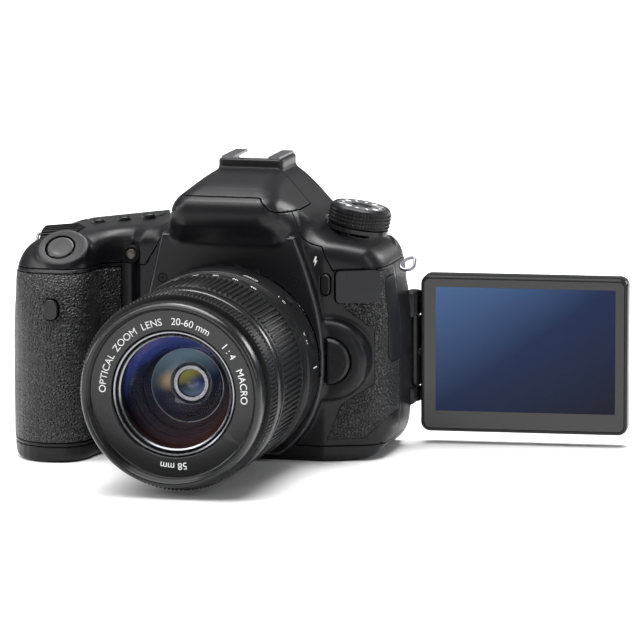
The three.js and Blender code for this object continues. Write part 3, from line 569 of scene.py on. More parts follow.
def brushed(name, colour, roughness, stretch=(1, 1, 30)):
    """Metal with fine brush marks."""
    finish = Finish(name, colour, roughness, Metallic=1.0)
    lines = finish.noise(900, 2, stretch)
    finish.wear(finish.vary(0.05, 0.08), tuple(min(1, c * 1.2) for c in colour), 0.4)
    finish.set("Roughness", finish.between(lines, 0.3, 0.7, roughness - 0.08, roughness + 0.12))
    finish.bump(lines, 0.2, 0.01)
    return finish.material


SATIN = moulded("satin_black", (0.005, 0.0047, 0.0058), 0.34, spread=0.05, Specular_IOR_Level=0.25)
SMOOTH = moulded("smooth_black", (0.005, 0.005, 0.0055), 0.25, grain=0.5, depth=0.012,
                 Specular_IOR_Level=0.24)
LENS_BLACK = moulded("lens_black", (0.005, 0.005, 0.0055), 0.38, grain=0.3, depth=0.015,
                     Specular_IOR_Level=0.28)
BARREL_GLOSS = moulded("barrel_black", (0.006, 0.006, 0.0066), 0.24, grain=0.5, depth=0.006, spread=0.04,
                       Specular_IOR_Level=0.42)
GLOSSY = moulded("polished_black", (0.005, 0.005, 0.006), 0.14, grain=0.8, depth=0.004, spread=0.03,
                 Specular_IOR_Level=0.3)
FLAT = moulded("flat_black", (0.003, 0.003, 0.003), 0.8, grain=0.8, depth=0.005, wear=0.0,
               Specular_IOR_Level=0.15)
RUBBER = moulded("smooth_rubber", (0.006, 0.006, 0.0065), 0.5, grain=0.25, depth=0.03, wear=0.15,
                 Specular_IOR_Level=0.3)
RIBS = moulded("ribbed_rubber", (0.004, 0.004, 0.0043), 0.38, grain=0.25, depth=0.02, wear=0.15,
               Specular_IOR_Level=0.24)
PEBBLED = leatherette("pebbled_rubber", (0.008, 0.008, 0.0088))
GREY = moulded("grey_paint", (0.03, 0.03, 0.036), 0.38, grain=0.25, depth=0.02, Metallic=0.3)
SILVER = brushed("bright_metal", (0.72, 0.72, 0.74), 0.2)
RING_METAL = brushed("ring_metal", (0.24, 0.24, 0.26), 0.25, stretch=(1, 30, 1))
FINE_METAL = moulded("turned_metal", (0.20, 0.20, 0.215), 0.3, grain=0.6, depth=0.003, Metallic=1.0)
SHOE_METAL = brushed("shoe_metal", (0.16, 0.16, 0.17), 0.34, stretch=(1, 30, 1))
DIAL_METAL = brushed("dial_top", (0.30, 0.30, 0.31), 0.32, stretch=(1, 1, 1))
WHITE = moulded("white_print", (0.78, 0.78, 0.78), 0.5, grain=0.2, depth=0.004, wear=0.0)
AMBER = moulded("smoked_lamp", (0.035, 0.028, 0.023), 0.18, grain=0.6, depth=0.01, wear=0.1)
BADGE_BLACK = moulded("badge_black", (0.008, 0.008, 0.0095), 0.3, grain=0.6, depth=0.01,
                      Specular_IOR_Level=0.2)
BOARD = moulded("board_green", (0.02, 0.11, 0.045), 0.4, grain=0.6, depth=0.05)


# ---------------------------------------------------------------- body covers and skins
FLASH_LINE = np.array([(-40, 84), (-23.5, 85), (-17, 88.4), (-15.6, 93), (12.6, 93), (16.4, 89), (20, 87.4),
                       (24, 86.6), (40, 85), (40, 120), (-40, 120)], float)
RISE = np.array([(-31, 50), (-31, 67), (-24.5, 78), (-19.5, 87), (-18.5, 110), (17, 110), (17, 90),
                 (23.4, 87.8), (28, 80.2), (31.6, 75.7), (35.8, 67), (35.8, 50)], float)
SIDE_SKIN = np.array([(33.8, 8), (46, 8), (60, 22), (60, 66), (38.6, 66), (39.5, 54), (49.2, 46), (49.2, 27),
                      (38.5, 20)], float)
MAIN_DIAL = {"centre": (-62.5, -31.0, 69.8), "radius": 9.4, "width": 13.0, "turn": math.radians(6)}
MAIN_DIAL_AXIS = (math.cos(MAIN_DIAL["turn"]), 0.0, math.sin(MAIN_DIAL["turn"]))
BADGE = {"centre": (43.9, -34.1, 61.4), "width": 15.4, "height": 11.0, "turn": math.atan2(5.2, 13)}


def flash_zone(x, y, z):
    return np.maximum(outline_distance(x, z, FLASH_LINE), y + 14.2)


def rise_zone(x, y, z):
    return np.maximum(outline_distance(x, z, RISE), y + 36.5)


def front_zone(x, y, z):
    low = np.maximum(np.maximum(z - TOP_SEAM, y - REAR_SEAM), BASE_SEAM - z)
    return np.minimum(low, rise_zone(x, y, z))


def top_zone(x, y, z):
    return np.maximum(TOP_SEAM - z, -rise_zone(x, y, z))


def rear_zone(x, y, z):
    return np.maximum(np.maximum(z - TOP_SEAM, REAR_SEAM - y), BASE_SEAM - z)


def base_zone(x, y, z):
    return z - BASE_SEAM


def grip_zone(x, y, z):
    return np.maximum(np.maximum(x + 40.8, y + 13.6), slab(z, 7, 65.4))


def port_zone(x, y, z):
    return np.maximum(outline_distance(y, z, rounded(-26, 34, -15.6, 63.4, 2.5)), 46 - x)


def badge_zone(x, y, z):
    c, s = math.cos(BADGE["turn"]), math.sin(BADGE["turn"])
    dx, dy = x - BADGE["centre"][0], y - BADGE["centre"][1]
    across = dx * c + dy * s
    half, tall = BADGE["width"] / 2, BADGE["height"] / 2
    flat = outline_distance(across, z - BADGE["centre"][2], rounded(-half, -tall, half, tall, 1.6))
    return np.maximum(flat, dy * c - dx * s - 6)


def boss_zone(x, y, z):
    return np.maximum(disc(x, z, *RELEASE_BOSS, 14.6), y + 20)


def side_zone(x, y, z):
    patch = np.maximum(outline_distance(x, z, SIDE_SKIN), y + 16)
    for hole in (port_zone, badge_zone, boss_zone):
        patch = np.maximum(patch, GAP - hole(x, y, z))
    return patch


def card_zone(x, y, z):
    return np.maximum(np.maximum(slab(y, -11.5, 3), slab(z, 21, 57)), x + 68)


def thumb_zone(x, y, z):
    return np.maximum(outline_distance(x, z, rounded(-74, 24, -61, 62, 5)), 4 - y)


def bore(direction, origin, radius, depth=4):
    """A round hole along a direction."""
    def field(x, y, z):
        height, away = along(x, y, z, direction, origin)
        return np.maximum(away - radius, -height - depth)
    return field


def slot_hole(outline, plane, low, high):
    """A hole of an outline run along the axis that the plane leaves out."""
    def field(x, y, z):
        u, v, w = {"xz": (x, z, y), "yz": (y, z, x), "xy": (x, y, z)}[plane]
        return np.maximum(outline_distance(u, v, outline), slab(w, low, high))
    return field


def main_dial_well(x, y, z):
    across, away = along(x, y, z, MAIN_DIAL_AXIS, MAIN_DIAL["centre"])
    reach = MAIN_DIAL["width"] / 2 + 0.5
    return np.maximum(away - MAIN_DIAL["radius"] - 0.6, slab(across, -reach, reach))


def half_disc(x, z, radius):
    """A half disc with its flat side towards the lens."""
    turn = np.linspace(-math.pi / 2, math.pi / 2, 25)
    arc = [(x + radius * math.cos(t), z + radius * math.sin(t)) for t in turn]
    return np.array(arc + [(x - 0.4, z + radius), (x - 0.4, z - radius)])


def capsule(x, z, half_width, half_height, steps=10):
    """An outline with half-round ends."""
    return rounded(x - half_width, z - half_height, x + half_width, z + half_height,
                   half_width - 0.001, steps)


# Buttons: node, direction, radius, rise above the underside, dish
BUTTONS = [
    ("shutter_button", GRIP_UP, 5.0, 3.2, 0.35), ("autofocus_mode_button", UP, 2.3, 2.6, 0.0),
    ("drive_mode_button", UP, 2.3, 2.6, 0.0), ("iso_button", UP, 2.3, 2.6, 0.0),
    ("preview_button", FORWARD, 2.5, 3.0, 0.2), ("set_button", BACK, 4.6, 3.4, 0.3),
    ("start_stop_button", BACK, 3.0, 3.0, 0.3), ("focus_start_button", BACK, 2.8, 2.6, 0.2),
    ("menu_button", BACK, 2.4, 2.6, 0.2), ("info_button", BACK, 2.4, 2.6, 0.2),
]


def underside(node, direction, rise):
    """Centre of a round piece's underside, from its box."""
    low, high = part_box(node)
    return np.array((low + high) / 2) / MM - np.array(direction) * rise / 2


def button_hole(node, direction, radius, rise, _dish):
    """A hole round a button, with more room in the sloping back."""
    room = 0.35
    if direction is BACK:
        room = 0.6
    return bore(direction, underside(node, direction, rise), radius + room, 3)


button_holes = [button_hole(*button) for button in BUTTONS]
mount_turns = np.linspace(0, 2 * math.pi, 120, endpoint=False)
mount_outline = np.array([(32.6 * math.cos(t), AXIS_Z + 32.6 * math.sin(t)) for t in mount_turns])
mount_hole = slot_hole(mount_outline, "xz", *FRONT_CUT)
release_hole = slot_hole(half_disc(34.8, 36, 8.4), "xz", *FRONT_CUT)
flash_button_hole = slot_hole(capsule(33.4, 62.2, 1.9, 4), "xz", *FRONT_CUT)
remote_hole = slot_hole(capsule(-58.6, 53.6, 2.9, 3.9), "xz", -70, -58)
lamp_hole = slot_hole(capsule(-36.2, 70.4, 3.15, 3.15), "xz", *FRONT_CUT)
LCD_AT, LCD_SIZE = (-49.0, -1.0), (30.0, 14.0)


def shoulder_frame():
    """The upright of the falling top, and the middle of the display on it."""
    (x0, z0), (x1, z1) = SHOULDER
    fall = math.atan2(z0 - z1, x0 - x1)
    return fall, np.array([LCD_AT[0], LCD_AT[1], z0 + (LCD_AT[0] - x0) * math.tan(fall)])


def lcd_hole(x, y, z):
    fall, middle = shoulder_frame()
    across = (x - middle[0]) * math.cos(fall) + (z - middle[2]) * math.sin(fall)
    up = (z - middle[2]) * math.cos(fall) - (x - middle[0]) * math.sin(fall)
    wide, tall = LCD_SIZE[0] / 2 + 0.4, LCD_SIZE[1] / 2 + 0.4
    outline = rounded(-wide, -tall, wide, tall, 2)
    return np.maximum(outline_distance(across, y - middle[1], outline), slab(up, -3, 10))


shoe_hole = slot_hole(rounded(-10.7, -12.3, 10.7, 9.5, 0.2), "xy", SHOE_Z - 0.4, 110)
eyepiece_hole = slot_hole(rounded(-8.6, 76.8, 8.6, 89.2, 2), "xz", 1, 20)
lock_hole = slot_hole(rounded(-51.5, 9.6, -38.5, 13.4, 1.5), "xz", 8, 20)
battery_hole = slot_hole(rounded(-73.2, -49.3, -51.2, -10.7, 0.6), "xy", -5, 2)
socket_hole = bore((0, 0, -1), (0, -14, 0), 6.5, 4)
dial_hole = bore(DIAL_UP, DIAL, 4.4, 3)
arm_hole = slot_hole(rounded(HINGE[0] - 1.4, HINGE[1] - 1.4, HINGE[0] + 1.4, HINGE[1] + 1.4, 0.3), "xy",
                     17.2, 48.4)

# Piece: its zone, what is cut from it, how far it stands proud, wall, material, body, slot, replaced nodes
COVERS = [
    ("flash_head_shell", flash_zone, [], 0, WALL, SATIN, "flash", "body_plastic", ["flash_head"]),
    ("front_shell", front_zone,
     [flash_zone, mount_hole, main_dial_well, release_hole, flash_button_hole, remote_hole, grip_zone,
      side_zone, port_zone, badge_zone] + button_holes,
     0, WALL, SATIN, "camera", "body_plastic", ["front_cover"]),
    ("top_shell", top_zone,
     [flash_zone, main_dial_well, lamp_hole, lcd_hole, shoe_hole, eyepiece_hole, dial_hole]
     + button_holes, 0, WALL, SATIN, "camera", "body_plastic", ["top_cover"]),
    ("rear_shell", rear_zone, [card_zone, lock_hole, arm_hole, thumb_zone] + button_holes, 0, WALL,
     SATIN, "camera", "body_plastic", ["rear_cover"]),
    ("base_shell", base_zone, [battery_hole, socket_hole], 0, WALL, SATIN, "camera", "body_plastic",
     ["base_cover"]),
    ("grip_skin", grip_zone, [remote_hole, main_dial_well], 0.1, 0.9, PEBBLED, "camera", "leatherette",
     ["grip_rubber"]),
    ("side_skin", side_zone, [], 0.1, 0.9, PEBBLED, "camera", "leatherette", ["side_rubber"]),
    ("thumb_skin", thumb_zone, [card_zone], 0.2, 0.9, PEBBLED, "camera", "leatherette", []),
    ("port_flap", port_zone, [], 0.15, 1.2, RUBBER, "port_cover", "soft_rubber", ["port_cover"]),
    ("card_flap", card_zone, [], 0, 1.2, SATIN, "card_door", "body_plastic", ["card_door"]),
]


SKINS = ("grip_skin", "side_skin", "port_flap", "card_flap", "thumb_skin")


def seam_margin(hole):
    """How much is cut from a cover beyond a neighbouring zone."""
    if hole is flash_zone:
        return GAP / 2
    if hole in (grip_zone, port_zone, badge_zone):
        return GAP
    return 0


def build_covers():
    """Cut the body's surface into its covers and skins."""
    points, quads = surface(body_field, (-82, -66, -3), (60, 19, 107), VOXEL)
    faces = quads.tolist()
    for name, zone, holes, proud, wall, material, body, slot_name, nodes in COVERS:
        grow = GAP / 2
        if name in SKINS:
            grow = 0
        part = clip(points, faces, lambda x, y, z: zone(x, y, z) + grow)
        for hole in holes:
            margin = seam_margin(hole)
            part = clip(*part, lambda x, y, z: margin - hole(x, y, z))
        part = tidy(*part)
        if proud:
            slope = field_slope(body_field, part[0])[1]
            part = part[0] + proud * slope / np.linalg.norm(slope, axis=1)[:, None], part[1]
        settle(add_piece(name, part, material, body, slot_name, nodes, bevel=0.18, wall=wall))


def settle(obj, limit=0.25):
    """Apply a cover's modifiers and draw back any corner that they push out of the body's form."""
    made = bpy.data.meshes.new_from_object(obj.evaluated_get(bpy.context.evaluated_depsgraph_get()))
    points = np.empty(len(made.vertices) * 3)
    made.vertices.foreach_get("co", points)
    points = points.reshape(-1, 3) / MM
    for _ in range(3):
        out = np.flatnonzero(body_field(*points.T) > limit)
        value, slope = field_slope(body_field, points[out])
        points[out] -= slope * (value / np.maximum((slope ** 2).sum(1), 0.2))[:, None]
    made.vertices.foreach_set("co", (points * MM).ravel())
    obj.modifiers.clear()
    obj.data = made


def tidy(points, faces):
    """Only the points that the faces use."""
    used = sorted({i for face in faces for i in face})
    number = {old: new for new, old in enumerate(used)}
    return points[used], [[number[i] for i in face] for face in faces]


build_covers()


# ---------------------------------------------------------------- nodes whose shape is right
CARRIED = [
    ("mirror_box", FLAT, 0), ("battery_pack", FLAT, 0.3), ("shutter_unit", GREY, 0.2),
    ("badge_plate", BADGE_BLACK, 0.4), ("lens_mount_ring", SILVER, 0.2), ("lens_mount", SILVER, 0.2),
    ("hot_shoe", SHOE_METAL, 0.25),
    ("tripod_socket", SILVER, 0.3), ("main_board", BOARD, 0.1), ("power_lever", SMOOTH, 0.2),
    ("release_button", SMOOTH, 0.3), ("flash_button", SMOOTH, 0.3), ("lock_slider", SMOOTH, 0.3),
    ("battery_door", SATIN, 0.3), ("screen_arm", SMOOTH, 0.25), ("remote_sensor_window", GLOSSY, 0.2),
    ("stabilizer_switch", SMOOTH, 0.2), ("focus_mode_switch", SMOOTH, 0.2),
    ("live_view_lever", SMOOTH, 0.2),
]


def glass(name, colour, roughness=0.02):
    """Clear glass with faint smudges."""
    finish = Finish(name, colour, roughness, IOR=1.5, Transmission_Weight=1.0)
    smudge = finish.noise(70, 2)
    finish.set("Roughness", finish.between(smudge, 0.4, 0.8, roughness, roughness + 0.03))
    return finish.material


CLEAR = glass("clear_glass", (0.9, 0.92, 0.95))
MIRROR = brushed("silvered", (0.85, 0.86, 0.88), 0.12, stretch=(1, 1, 1))
SENSOR = moulded("sensor_filter", (0.02, 0.05, 0.06), 0.12, grain=1.5, depth=0.002, wear=0)
for node, material in (("pentaprism", CLEAR), ("eyepiece_lens", CLEAR), ("flash_window", CLEAR),
                       ("reflex_mirror", MIRROR), ("image_sensor", SENSOR)):
    CARRIED.append((node, material, 0.2))
for node, material, bevel in CARRIED:
    carried = frame["nodes"][node]
    carried.data.materials.clear()
    carried.data.materials.append(material)
    dress(carried, bevel)

# ---------------------------------------------------------------- buttons, dials and levers
SLOTS = {row["node"]: row["material_slot"] for row in frame["record"]["subparts"]}
BODY_OF = {node: body for body, nodes in frame["record"]["behaviour"]["bodies"].items() for node in nodes}


def stand_for(node, name, shape, material, bevel=0.0, split=32):
    """A finer piece that replaces one node of the frame."""
    return add_piece(name, shape, material, BODY_OF[node], SLOTS[node], [node], bevel=bevel, split=split)


for node, direction, radius, rise, dish in BUTTONS:
    cap = lathe(cap_profile(radius, 0, rise, 0.8, dish), 64)
    shape = placed(cap, direction, underside(node, direction, rise))
    stand_for(node, node + "_top", shape, {"shutter_button": GLOSSY}.get(node, SMOOTH))


def body_piece(name, shape, material, wall=0.0):
    """A small piece fixed to the body."""
    return add_piece(name, shape, material, "camera", "body_plastic", wall=wall)


def knurled(radius, low, high, columns, rows, depth):
    """A ring of small pyramids round local Z, open inside."""
    count = columns * 2
    angle = np.arange(count) * math.pi / columns
    loops = []
    for row in range(2 * rows + 1):
        peak = np.where((np.arange(count) % 2 == 1) & (row % 2 == 1), depth, 0.0)
        reach = radius + peak
        z = low + (high - low) * row / (2 * rows)
        loops.append(np.stack([reach * np.cos(angle), reach * np.sin(angle), np.full(count, z)], 1))
    return np.concatenate(loops), grid_faces(len(loops), count)


def mode_dial():
    side = [(3.5, 2.0), (10.2, 2.0), (10.55, 2.3), (10.55, 7.6), (10.3, 8.4), (9.6, 9.0), (8.9, 9.05),
            (8.8, 8.7), (3.5, 8.7)]
    return merged(lathe(side, 128), knurled(10.5, 2.4, 7.6, 60, 4, 0.5))


stand_for("mode_dial", "mode_dial_wheel", placed(mode_dial(), DIAL_UP, DIAL), SATIN, split=25)
top_plate = [(3.6, 8.72), (8.75, 8.72), (8.7, 9.0), (3.6, 9.0)]
add_piece("mode_dial_plate", placed(lathe(top_plate, 96), DIAL_UP, DIAL), DIAL_METAL, "mode_dial",
          "grey_metal")
stand_for("mode_dial_button", "mode_dial_lock_button",
          placed(lathe(cap_profile(3.0, 1.0, 9.2, 0.5, 0.2), 64), DIAL_UP, DIAL), SMOOTH)


def dial_marks():
    """Plain marks round the dial: a dot, a bar or a small square at each position."""
    shapes = []
    for place in range(12):
        wide, tall = [(0.5, 0.5), (0.25, 1.3), (0.9, 0.9)][place % 3]
        mark = plate(rounded(-wide, -tall, wide, tall, min(wide, tall) * 0.4), 9.0, 9.04)
        turn = place * math.pi / 6
        moved = mark[0] + np.array([0, 6.7, 0])
        c, s = math.cos(turn), math.sin(turn)
        shapes.append((moved @ np.array([[c, s, 0], [-s, c, 0], [0, 0, 1]]), mark[1]))
    return merged(*shapes)


add_piece("mode_dial_marks", placed(dial_marks(), DIAL_UP, DIAL), WHITE, "mode_dial", "control_plastic")

wheel = merged(ribbed([(0, 0), (0.8, 1), (12.2, 1), (13, 0)], 48, 8.7, 0.7, 0.42),
               lathe([(0, 0), (8.7, 0), (8.7, 13), (0, 13)], 96))
dial_end = np.array(MAIN_DIAL["centre"]) - np.array(MAIN_DIAL_AXIS) * MAIN_DIAL["width"] / 2
stand_for("main_dial", "main_dial_wheel", placed(wheel, MAIN_DIAL_AXIS, dial_end), RIBS, split=25)

QUICK_AT = (-45.0, 11.4, 31.0)
quick_side = [(9.8, 0.5), (13.4, 0.5), (13.4, 2.6), (12.8, 3.2), (12.0, 3.5), (10.2, 3.3), (9.8, 2.9)]
quick = merged(lathe(quick_side, 128),
               ribbed([(0.5, 0), (0.7, 1), (2.4, 1), (3.0, 0)], 72, 13.3, 0.55))
stand_for("quick_control_dial", "quick_dial_wheel", placed(quick, BACK, QUICK_AT), SMOOTH, split=25)
eight_way = [(5.3, 0.5), (9.3, 0.5), (9.3, 2.4), (8.9, 2.8), (8.2, 2.9), (6.2, 2.5), (5.5, 2.5), (5.3, 2.2)]
stand_for("multi_controller", "multi_controller_ring", placed(lathe(eight_way, 96), BACK, QUICK_AT), SMOOTH)

# Self-timer lamp: a small domed lens in a black surround
LAMP_AT = (-36.2, -35.5, 70.4)
lamp_face = -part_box("timer_lamp")[0].y / MM + LAMP_AT[1]
surround = [(2.1, 0.2), (3.05, 0.2), (3.05, lamp_face - 0.6), (2.7, lamp_face - 0.3), (2.1, lamp_face - 0.5)]
body_piece("lamp_surround", placed(lathe(surround, 64), FORWARD, LAMP_AT), FLAT)
stand_for("timer_lamp", "lamp_lens",
          placed(lathe(cap_profile(2.05, 0.2, lamp_face - 0.1, 1.0), 48), FORWARD, LAMP_AT), AMBER)


# ---------------------------------------------------------------- lens
def on_lens(shape):
    """Local height runs forward along the lens axis, from the focal plane. Local X stays X."""
    points, faces = shape
    x, y, z = np.asarray(points).T
    return np.stack([x, -z, y + AXIS_Z], 1), faces


def inner_piece(name, profile, facets, material, slot="lens_plastic", split=32):
    """A turned piece that rides on the inner barrel."""
    add_piece(name, on_lens(lathe(profile, facets)), material, "inner_barrel", slot, split=split)


barrel = [(24, 46.3), (31.8, 46.3), (33.0, 47.2), (33.9, 48.8), (34.2, 51), (34.2, 62.6), (34.0, 63.2),
          (33.5, 63.4), (33.5, 65.2), (28.8, 65.2), (28.8, 94.8), (27, 94.8), (27, 50), (24, 50)]
stand_for("lens_barrel", "lens_barrel_shell", on_lens(lathe(barrel, 192)), LENS_BLACK, bevel=0.12)
zoom_tube = [(29, 65.6), (33.3, 65.6), (33.55, 66), (33.55, 69.6), (33.0, 70), (33.0, 93.6), (33.4, 93.9),
             (33.55, 94.3), (33.4, 95.2), (29, 95.2)]
zoom = merged(lathe(zoom_tube, 192),
              ribbed([(70.0, 0), (70.8, 1), (92.9, 1), (93.6, 0)], 108, 32.95, 0.75, 0.52))
stand_for("zoom_ring", "zoom_grip", on_lens(zoom), RIBS, split=25)
tube_profile = [(25.2, 62), (26.6, 62), (26.6, 95.6), (33.2, 95.6), (33.55, 96.0), (33.6, 98), (33.6, 100.9),
                (33.2, 101.6), (29.2, 101.6), (29.2, 110.3), (31.4, 110.3), (31.7, 110.9), (31.7, 113.6),
                (31.6, 115.4), (31.4, 116.6), (31.0, 117.5), (30.4, 118.0), (29.7, 117.9),
                (29.3, 117.4), (29.1, 115.6), (28.6, 113.9), (28.0, 113.6), (21.9, 113.6),
                (21.6, 113.3), (21.5, 111.6), (20, 103), (25.2, 99)]
stand_for("inner_barrel", "inner_barrel_shell", on_lens(lathe(tube_profile, 192)), BARREL_GLOSS, bevel=0.1)
focus_tube = [(29.6, 102.1), (33.0, 102.1), (33.0, 109.9), (29.6, 109.9)]
focus = merged(lathe(focus_tube, 192),
               ribbed([(102.3, 0), (102.8, 1), (109.2, 1), (109.7, 0)], 150, 32.95, 0.65))
stand_for("focus_ring", "focus_grip", on_lens(focus), RIBS, split=25)
threads = [(29.15, 114.2)]
for turn in range(4):
    start = 114.2 + turn * 0.75
    threads += [(28.75, start + 0.25), (29.1, start + 0.6)]
threads += [(29.4, 117.3), (29.4, 114.2)]
inner_piece("filter_thread", threads, 160, SMOOTH, split=20)

# Two bright bezels round the front glass, then the black well with its baffle steps
for name, profile in {
    "outer_bezel": [(20.5, 111.6), (21.2, 111.6), (21.3, 112.5), (21.0, 112.85), (20.5, 112.6)],
    "inner_bezel": [(19.0, 110.4), (19.8, 110.4), (19.9, 111.3), (19.5, 111.6), (19.0, 111.2)],
}.items():
    inner_piece(name, profile, 192, RING_METAL)
bezel_step = [(19.2, 108.4), (21.6, 108.4), (21.6, 112.9), (21.35, 112.3), (20.4, 112.1), (20.2, 111.0),
              (19.2, 110.6)]
inner_piece("bezel_step", bezel_step, 160, SMOOTH)


def dome(radius, curve, crown, facets_up=12):
    """Profile of a spherical cap from the axis to its edge."""
    drop = curve - math.sqrt(curve * curve - radius * radius)
    rows = []
    for t in np.linspace(0, 1, facets_up):
        r = radius * t
        rows.append((r, crown - (curve - math.sqrt(curve * curve - r * r))))
    return rows, crown - drop


front_rows, _ = dome(19.1, 46, 112.6)
back_rows, _ = dome(19.1, 70, 109.9)
front_shape = on_lens(lathe(front_rows + back_rows[::-1], 128))


def lens_sockets(finish, centre, reach):
    """Height up an element, 0 to 1, and distance in millimetres from a point on it."""
    split = finish.node("ShaderNodeSeparateXYZ", {"Vector": finish.place})
    slant = finish.node("ShaderNodeMath", {0: split.outputs["X"], 1: -0.35}, operation='MULTIPLY')
    rise = finish.node("ShaderNodeMath", {0: split.outputs["Z"], 1: slant.outputs[0]}, operation='ADD')
    height = finish.between(rise.outputs[0], (AXIS_Z - reach) * MM, (AXIS_Z + reach) * MM, 0, 1)
    at = finish.node("ShaderNodeCombineXYZ", {"X": split.outputs["X"], "Y": 0.0, "Z": split.outputs["Z"]})
    spot = (centre[0] * MM, 0.0, (AXIS_Z + centre[1]) * MM)
    away = finish.node("ShaderNodeVectorMath", {0: at.outputs[0], 1: spot}, operation='DISTANCE')
    far = finish.node("ShaderNodeMath", {0: away.outputs["Value"], 1: 1 / MM}, operation='MULTIPLY')
    return height, far.outputs[0]


def painted_reflection_element(name, upper, middle, lower, reach, roughness=0.06, gloss=0.5, painted_glint=None, glint_at=(0, 0),
                   glint_size=3):
    """An inner element coloured with painted reflections: its own dark tone in the middle, shading towards
    painted reflection colours at the top and the bottom, with an optional round painted highlight.
    """
    finish = Finish(name, middle, roughness, Specular_IOR_Level=gloss)
    height, away = lens_sockets(finish, glint_at, reach)
    # painted reflection: colour by height across the element, from the lower colour through the middle one to
    # the upper one
    ramp = finish.node("ShaderNodeValToRGB", {"Fac": height})
    ramp.color_ramp.elements[0].color = (*lower, 1)
    ramp.color_ramp.elements[1].color = (*upper, 1)
    ramp.color_ramp.elements.new(0.5).color = (*middle, 1)
    shade = ramp.outputs["Color"]
    # painted highlight: a round spot of another colour
    if painted_glint:
        shade = finish.mixed(finish.between(away, 0, glint_size, 0.9, 0), shade, (*painted_glint, 1))
    finish.set("Base Color", shade)
    cloud = finish.noise(55, 1)
    finish.set("Roughness", finish.between(cloud, 0.4, 0.8, roughness, roughness + 0.08))
    return finish.material


def front_glass_painted_reflection():
    """Clear front glass with a painted reflection: a blue and violet crescent towards its upper left edge,
    where the glass is also made less clear.
    """
    finish = Finish("coated_glass", (0.05, 0.06, 0.3), 0.03, IOR=1.5)
    _, away = lens_sockets(finish, (4, -8), 20)
    drift = finish.node("ShaderNodeMath", {0: finish.noise(60, 1), 1: 2.0, 2: away}, operation='MULTIPLY_ADD')
    # painted reflection: blue, then violet, and less clear, with distance from a point below and right of the
    # middle
    share = finish.between(drift.outputs[0], 22.5, 29.5, 0, 1)
    ramp = finish.node("ShaderNodeValToRGB", {"Fac": share})
    ramp.color_ramp.elements[0].color = (0.01, 0.015, 0.06, 1)
    ramp.color_ramp.elements[1].color = (0.16, 0.13, 0.34, 1)
    ramp.color_ramp.elements.new(0.55).color = (0.035, 0.06, 0.27, 1)
    finish.set("Base Color", ramp.outputs["Color"])
    finish.set("Alpha", finish.between(share, 0, 1, 0.06, 0.85))
    return finish.material


# the front glass carries a painted reflection
stand_for("front_element", "front_glass", front_shape, front_glass_painted_reflection())
# Painted reflections inside the lens: the dark well is faintly blue towards the top and reddish brown towards
# the bottom; the teal bowl is light at the top and dark below, with an amber painted highlight on its left;
# the gold element is yellow at the top and blue at the bottom, with a blue painted highlight right of its
# middle.
WELL = painted_reflection_element("well_painted_reflection", (0.004, 0.006, 0.016), (0.002, 0.002, 0.0025), (0.03, 0.009, 0.006), 18,
                      0.5, 0.12)
TEAL = painted_reflection_element("teal_painted_reflection", (0.16, 0.25, 0.31), (0.012, 0.022, 0.032), (0.022, 0.009, 0.006), 12.5,
                      painted_glint=(0.55, 0.33, 0.07), glint_at=(-7.6, 0.6), glint_size=4.2)
GOLD = painted_reflection_element("gold_painted_reflection", (0.55, 0.48, 0.10), (0.02, 0.04, 0.03), (0.18, 0.26, 0.42), 4.4,
                      painted_glint=(0.02, 0.03, 0.25), glint_at=(2.5, 0.5), glint_size=3)
STEPS = 3
WELL_TOP, WELL_FLOOR = (19.0, 108.6), (12.9, 95.6)         # radius and height of its mouth and its floor
well = [(19.4, 108.6)]
for step in range(STEPS):
    share = step / STEPS
    r = WELL_TOP[0] + (WELL_FLOOR[0] - WELL_TOP[0]) * share
    h = WELL_TOP[1] + (WELL_FLOOR[1] - WELL_TOP[1]) * share
    well += [(r, h), (r - 0.15, h - 0.15), (r - 0.3, h - 2.4)]
well += [(WELL_FLOOR[0] - 0.4, WELL_FLOOR[1]), (WELL_FLOOR[0] - 0.4, WELL_FLOOR[1] - 1),
         (19.4, WELL_FLOOR[1] - 1)]
inner_piece("lens_well", well, 160, WELL, split=20)
bowl = [(12.7, 95.4), (11.6, 93.9), (10.2, 92.5), (8.6, 91.5), (7.2, 91.0), (7.2, 90.0), (12.7, 90.0)]
inner_piece("middle_element", bowl, 128, TEAL, "coated_glass")
rows, edge = dome(4.7, 7, 91.8)
inner_piece("rear_group_element", rows + [(4.7, edge - 1), (0, edge - 1)], 128, GOLD, "coated_glass")
collar = [(4.6, 89.4), (7.5, 89.4), (7.5, 90.9), (6.4, 90.7), (6.2, 90.2), (4.6, 90.2)]
inner_piece("small_collar", collar, 128, SMOOTH)
for name, inner, outer, height in [("middle_ring", 12.45, 12.8, 95.6), ("small_ring", 4.75, 6.15, 91.0),
                                   ("small_outer_ring", 7.2, 7.4, 91.0)]:
    ring = [(inner, height - 1.2), (outer, height - 1.2), (outer, height), (outer - 0.12, height + 0.15),
            (inner + 0.12, height + 0.15), (inner, height)]
    inner_piece(name, ring, 128, FINE_METAL)


# ---------------------------------------------------------------- printing: plain numerals and marks
def lettering(text, size):
    """Flat letters centred on the origin, as a mesh in millimetres."""
    curve = bpy.data.curves.new("lettering", 'FONT')
    curve.body = text
    curve.size = size
    curve.align_x, curve.align_y = 'CENTER', 'CENTER'
    holder = bpy.data.objects.new("lettering", curve)
    bpy.context.scene.collection.objects.link(holder)
    bpy.context.view_layer.update()
    made = bpy.data.meshes.new_from_object(holder)
    points = np.array([v.co for v in made.vertices])
    faces = [list(p.vertices) for p in made.polygons]
    bpy.data.objects.remove(holder)
    bpy.data.meshes.remove(made)
    return points, faces


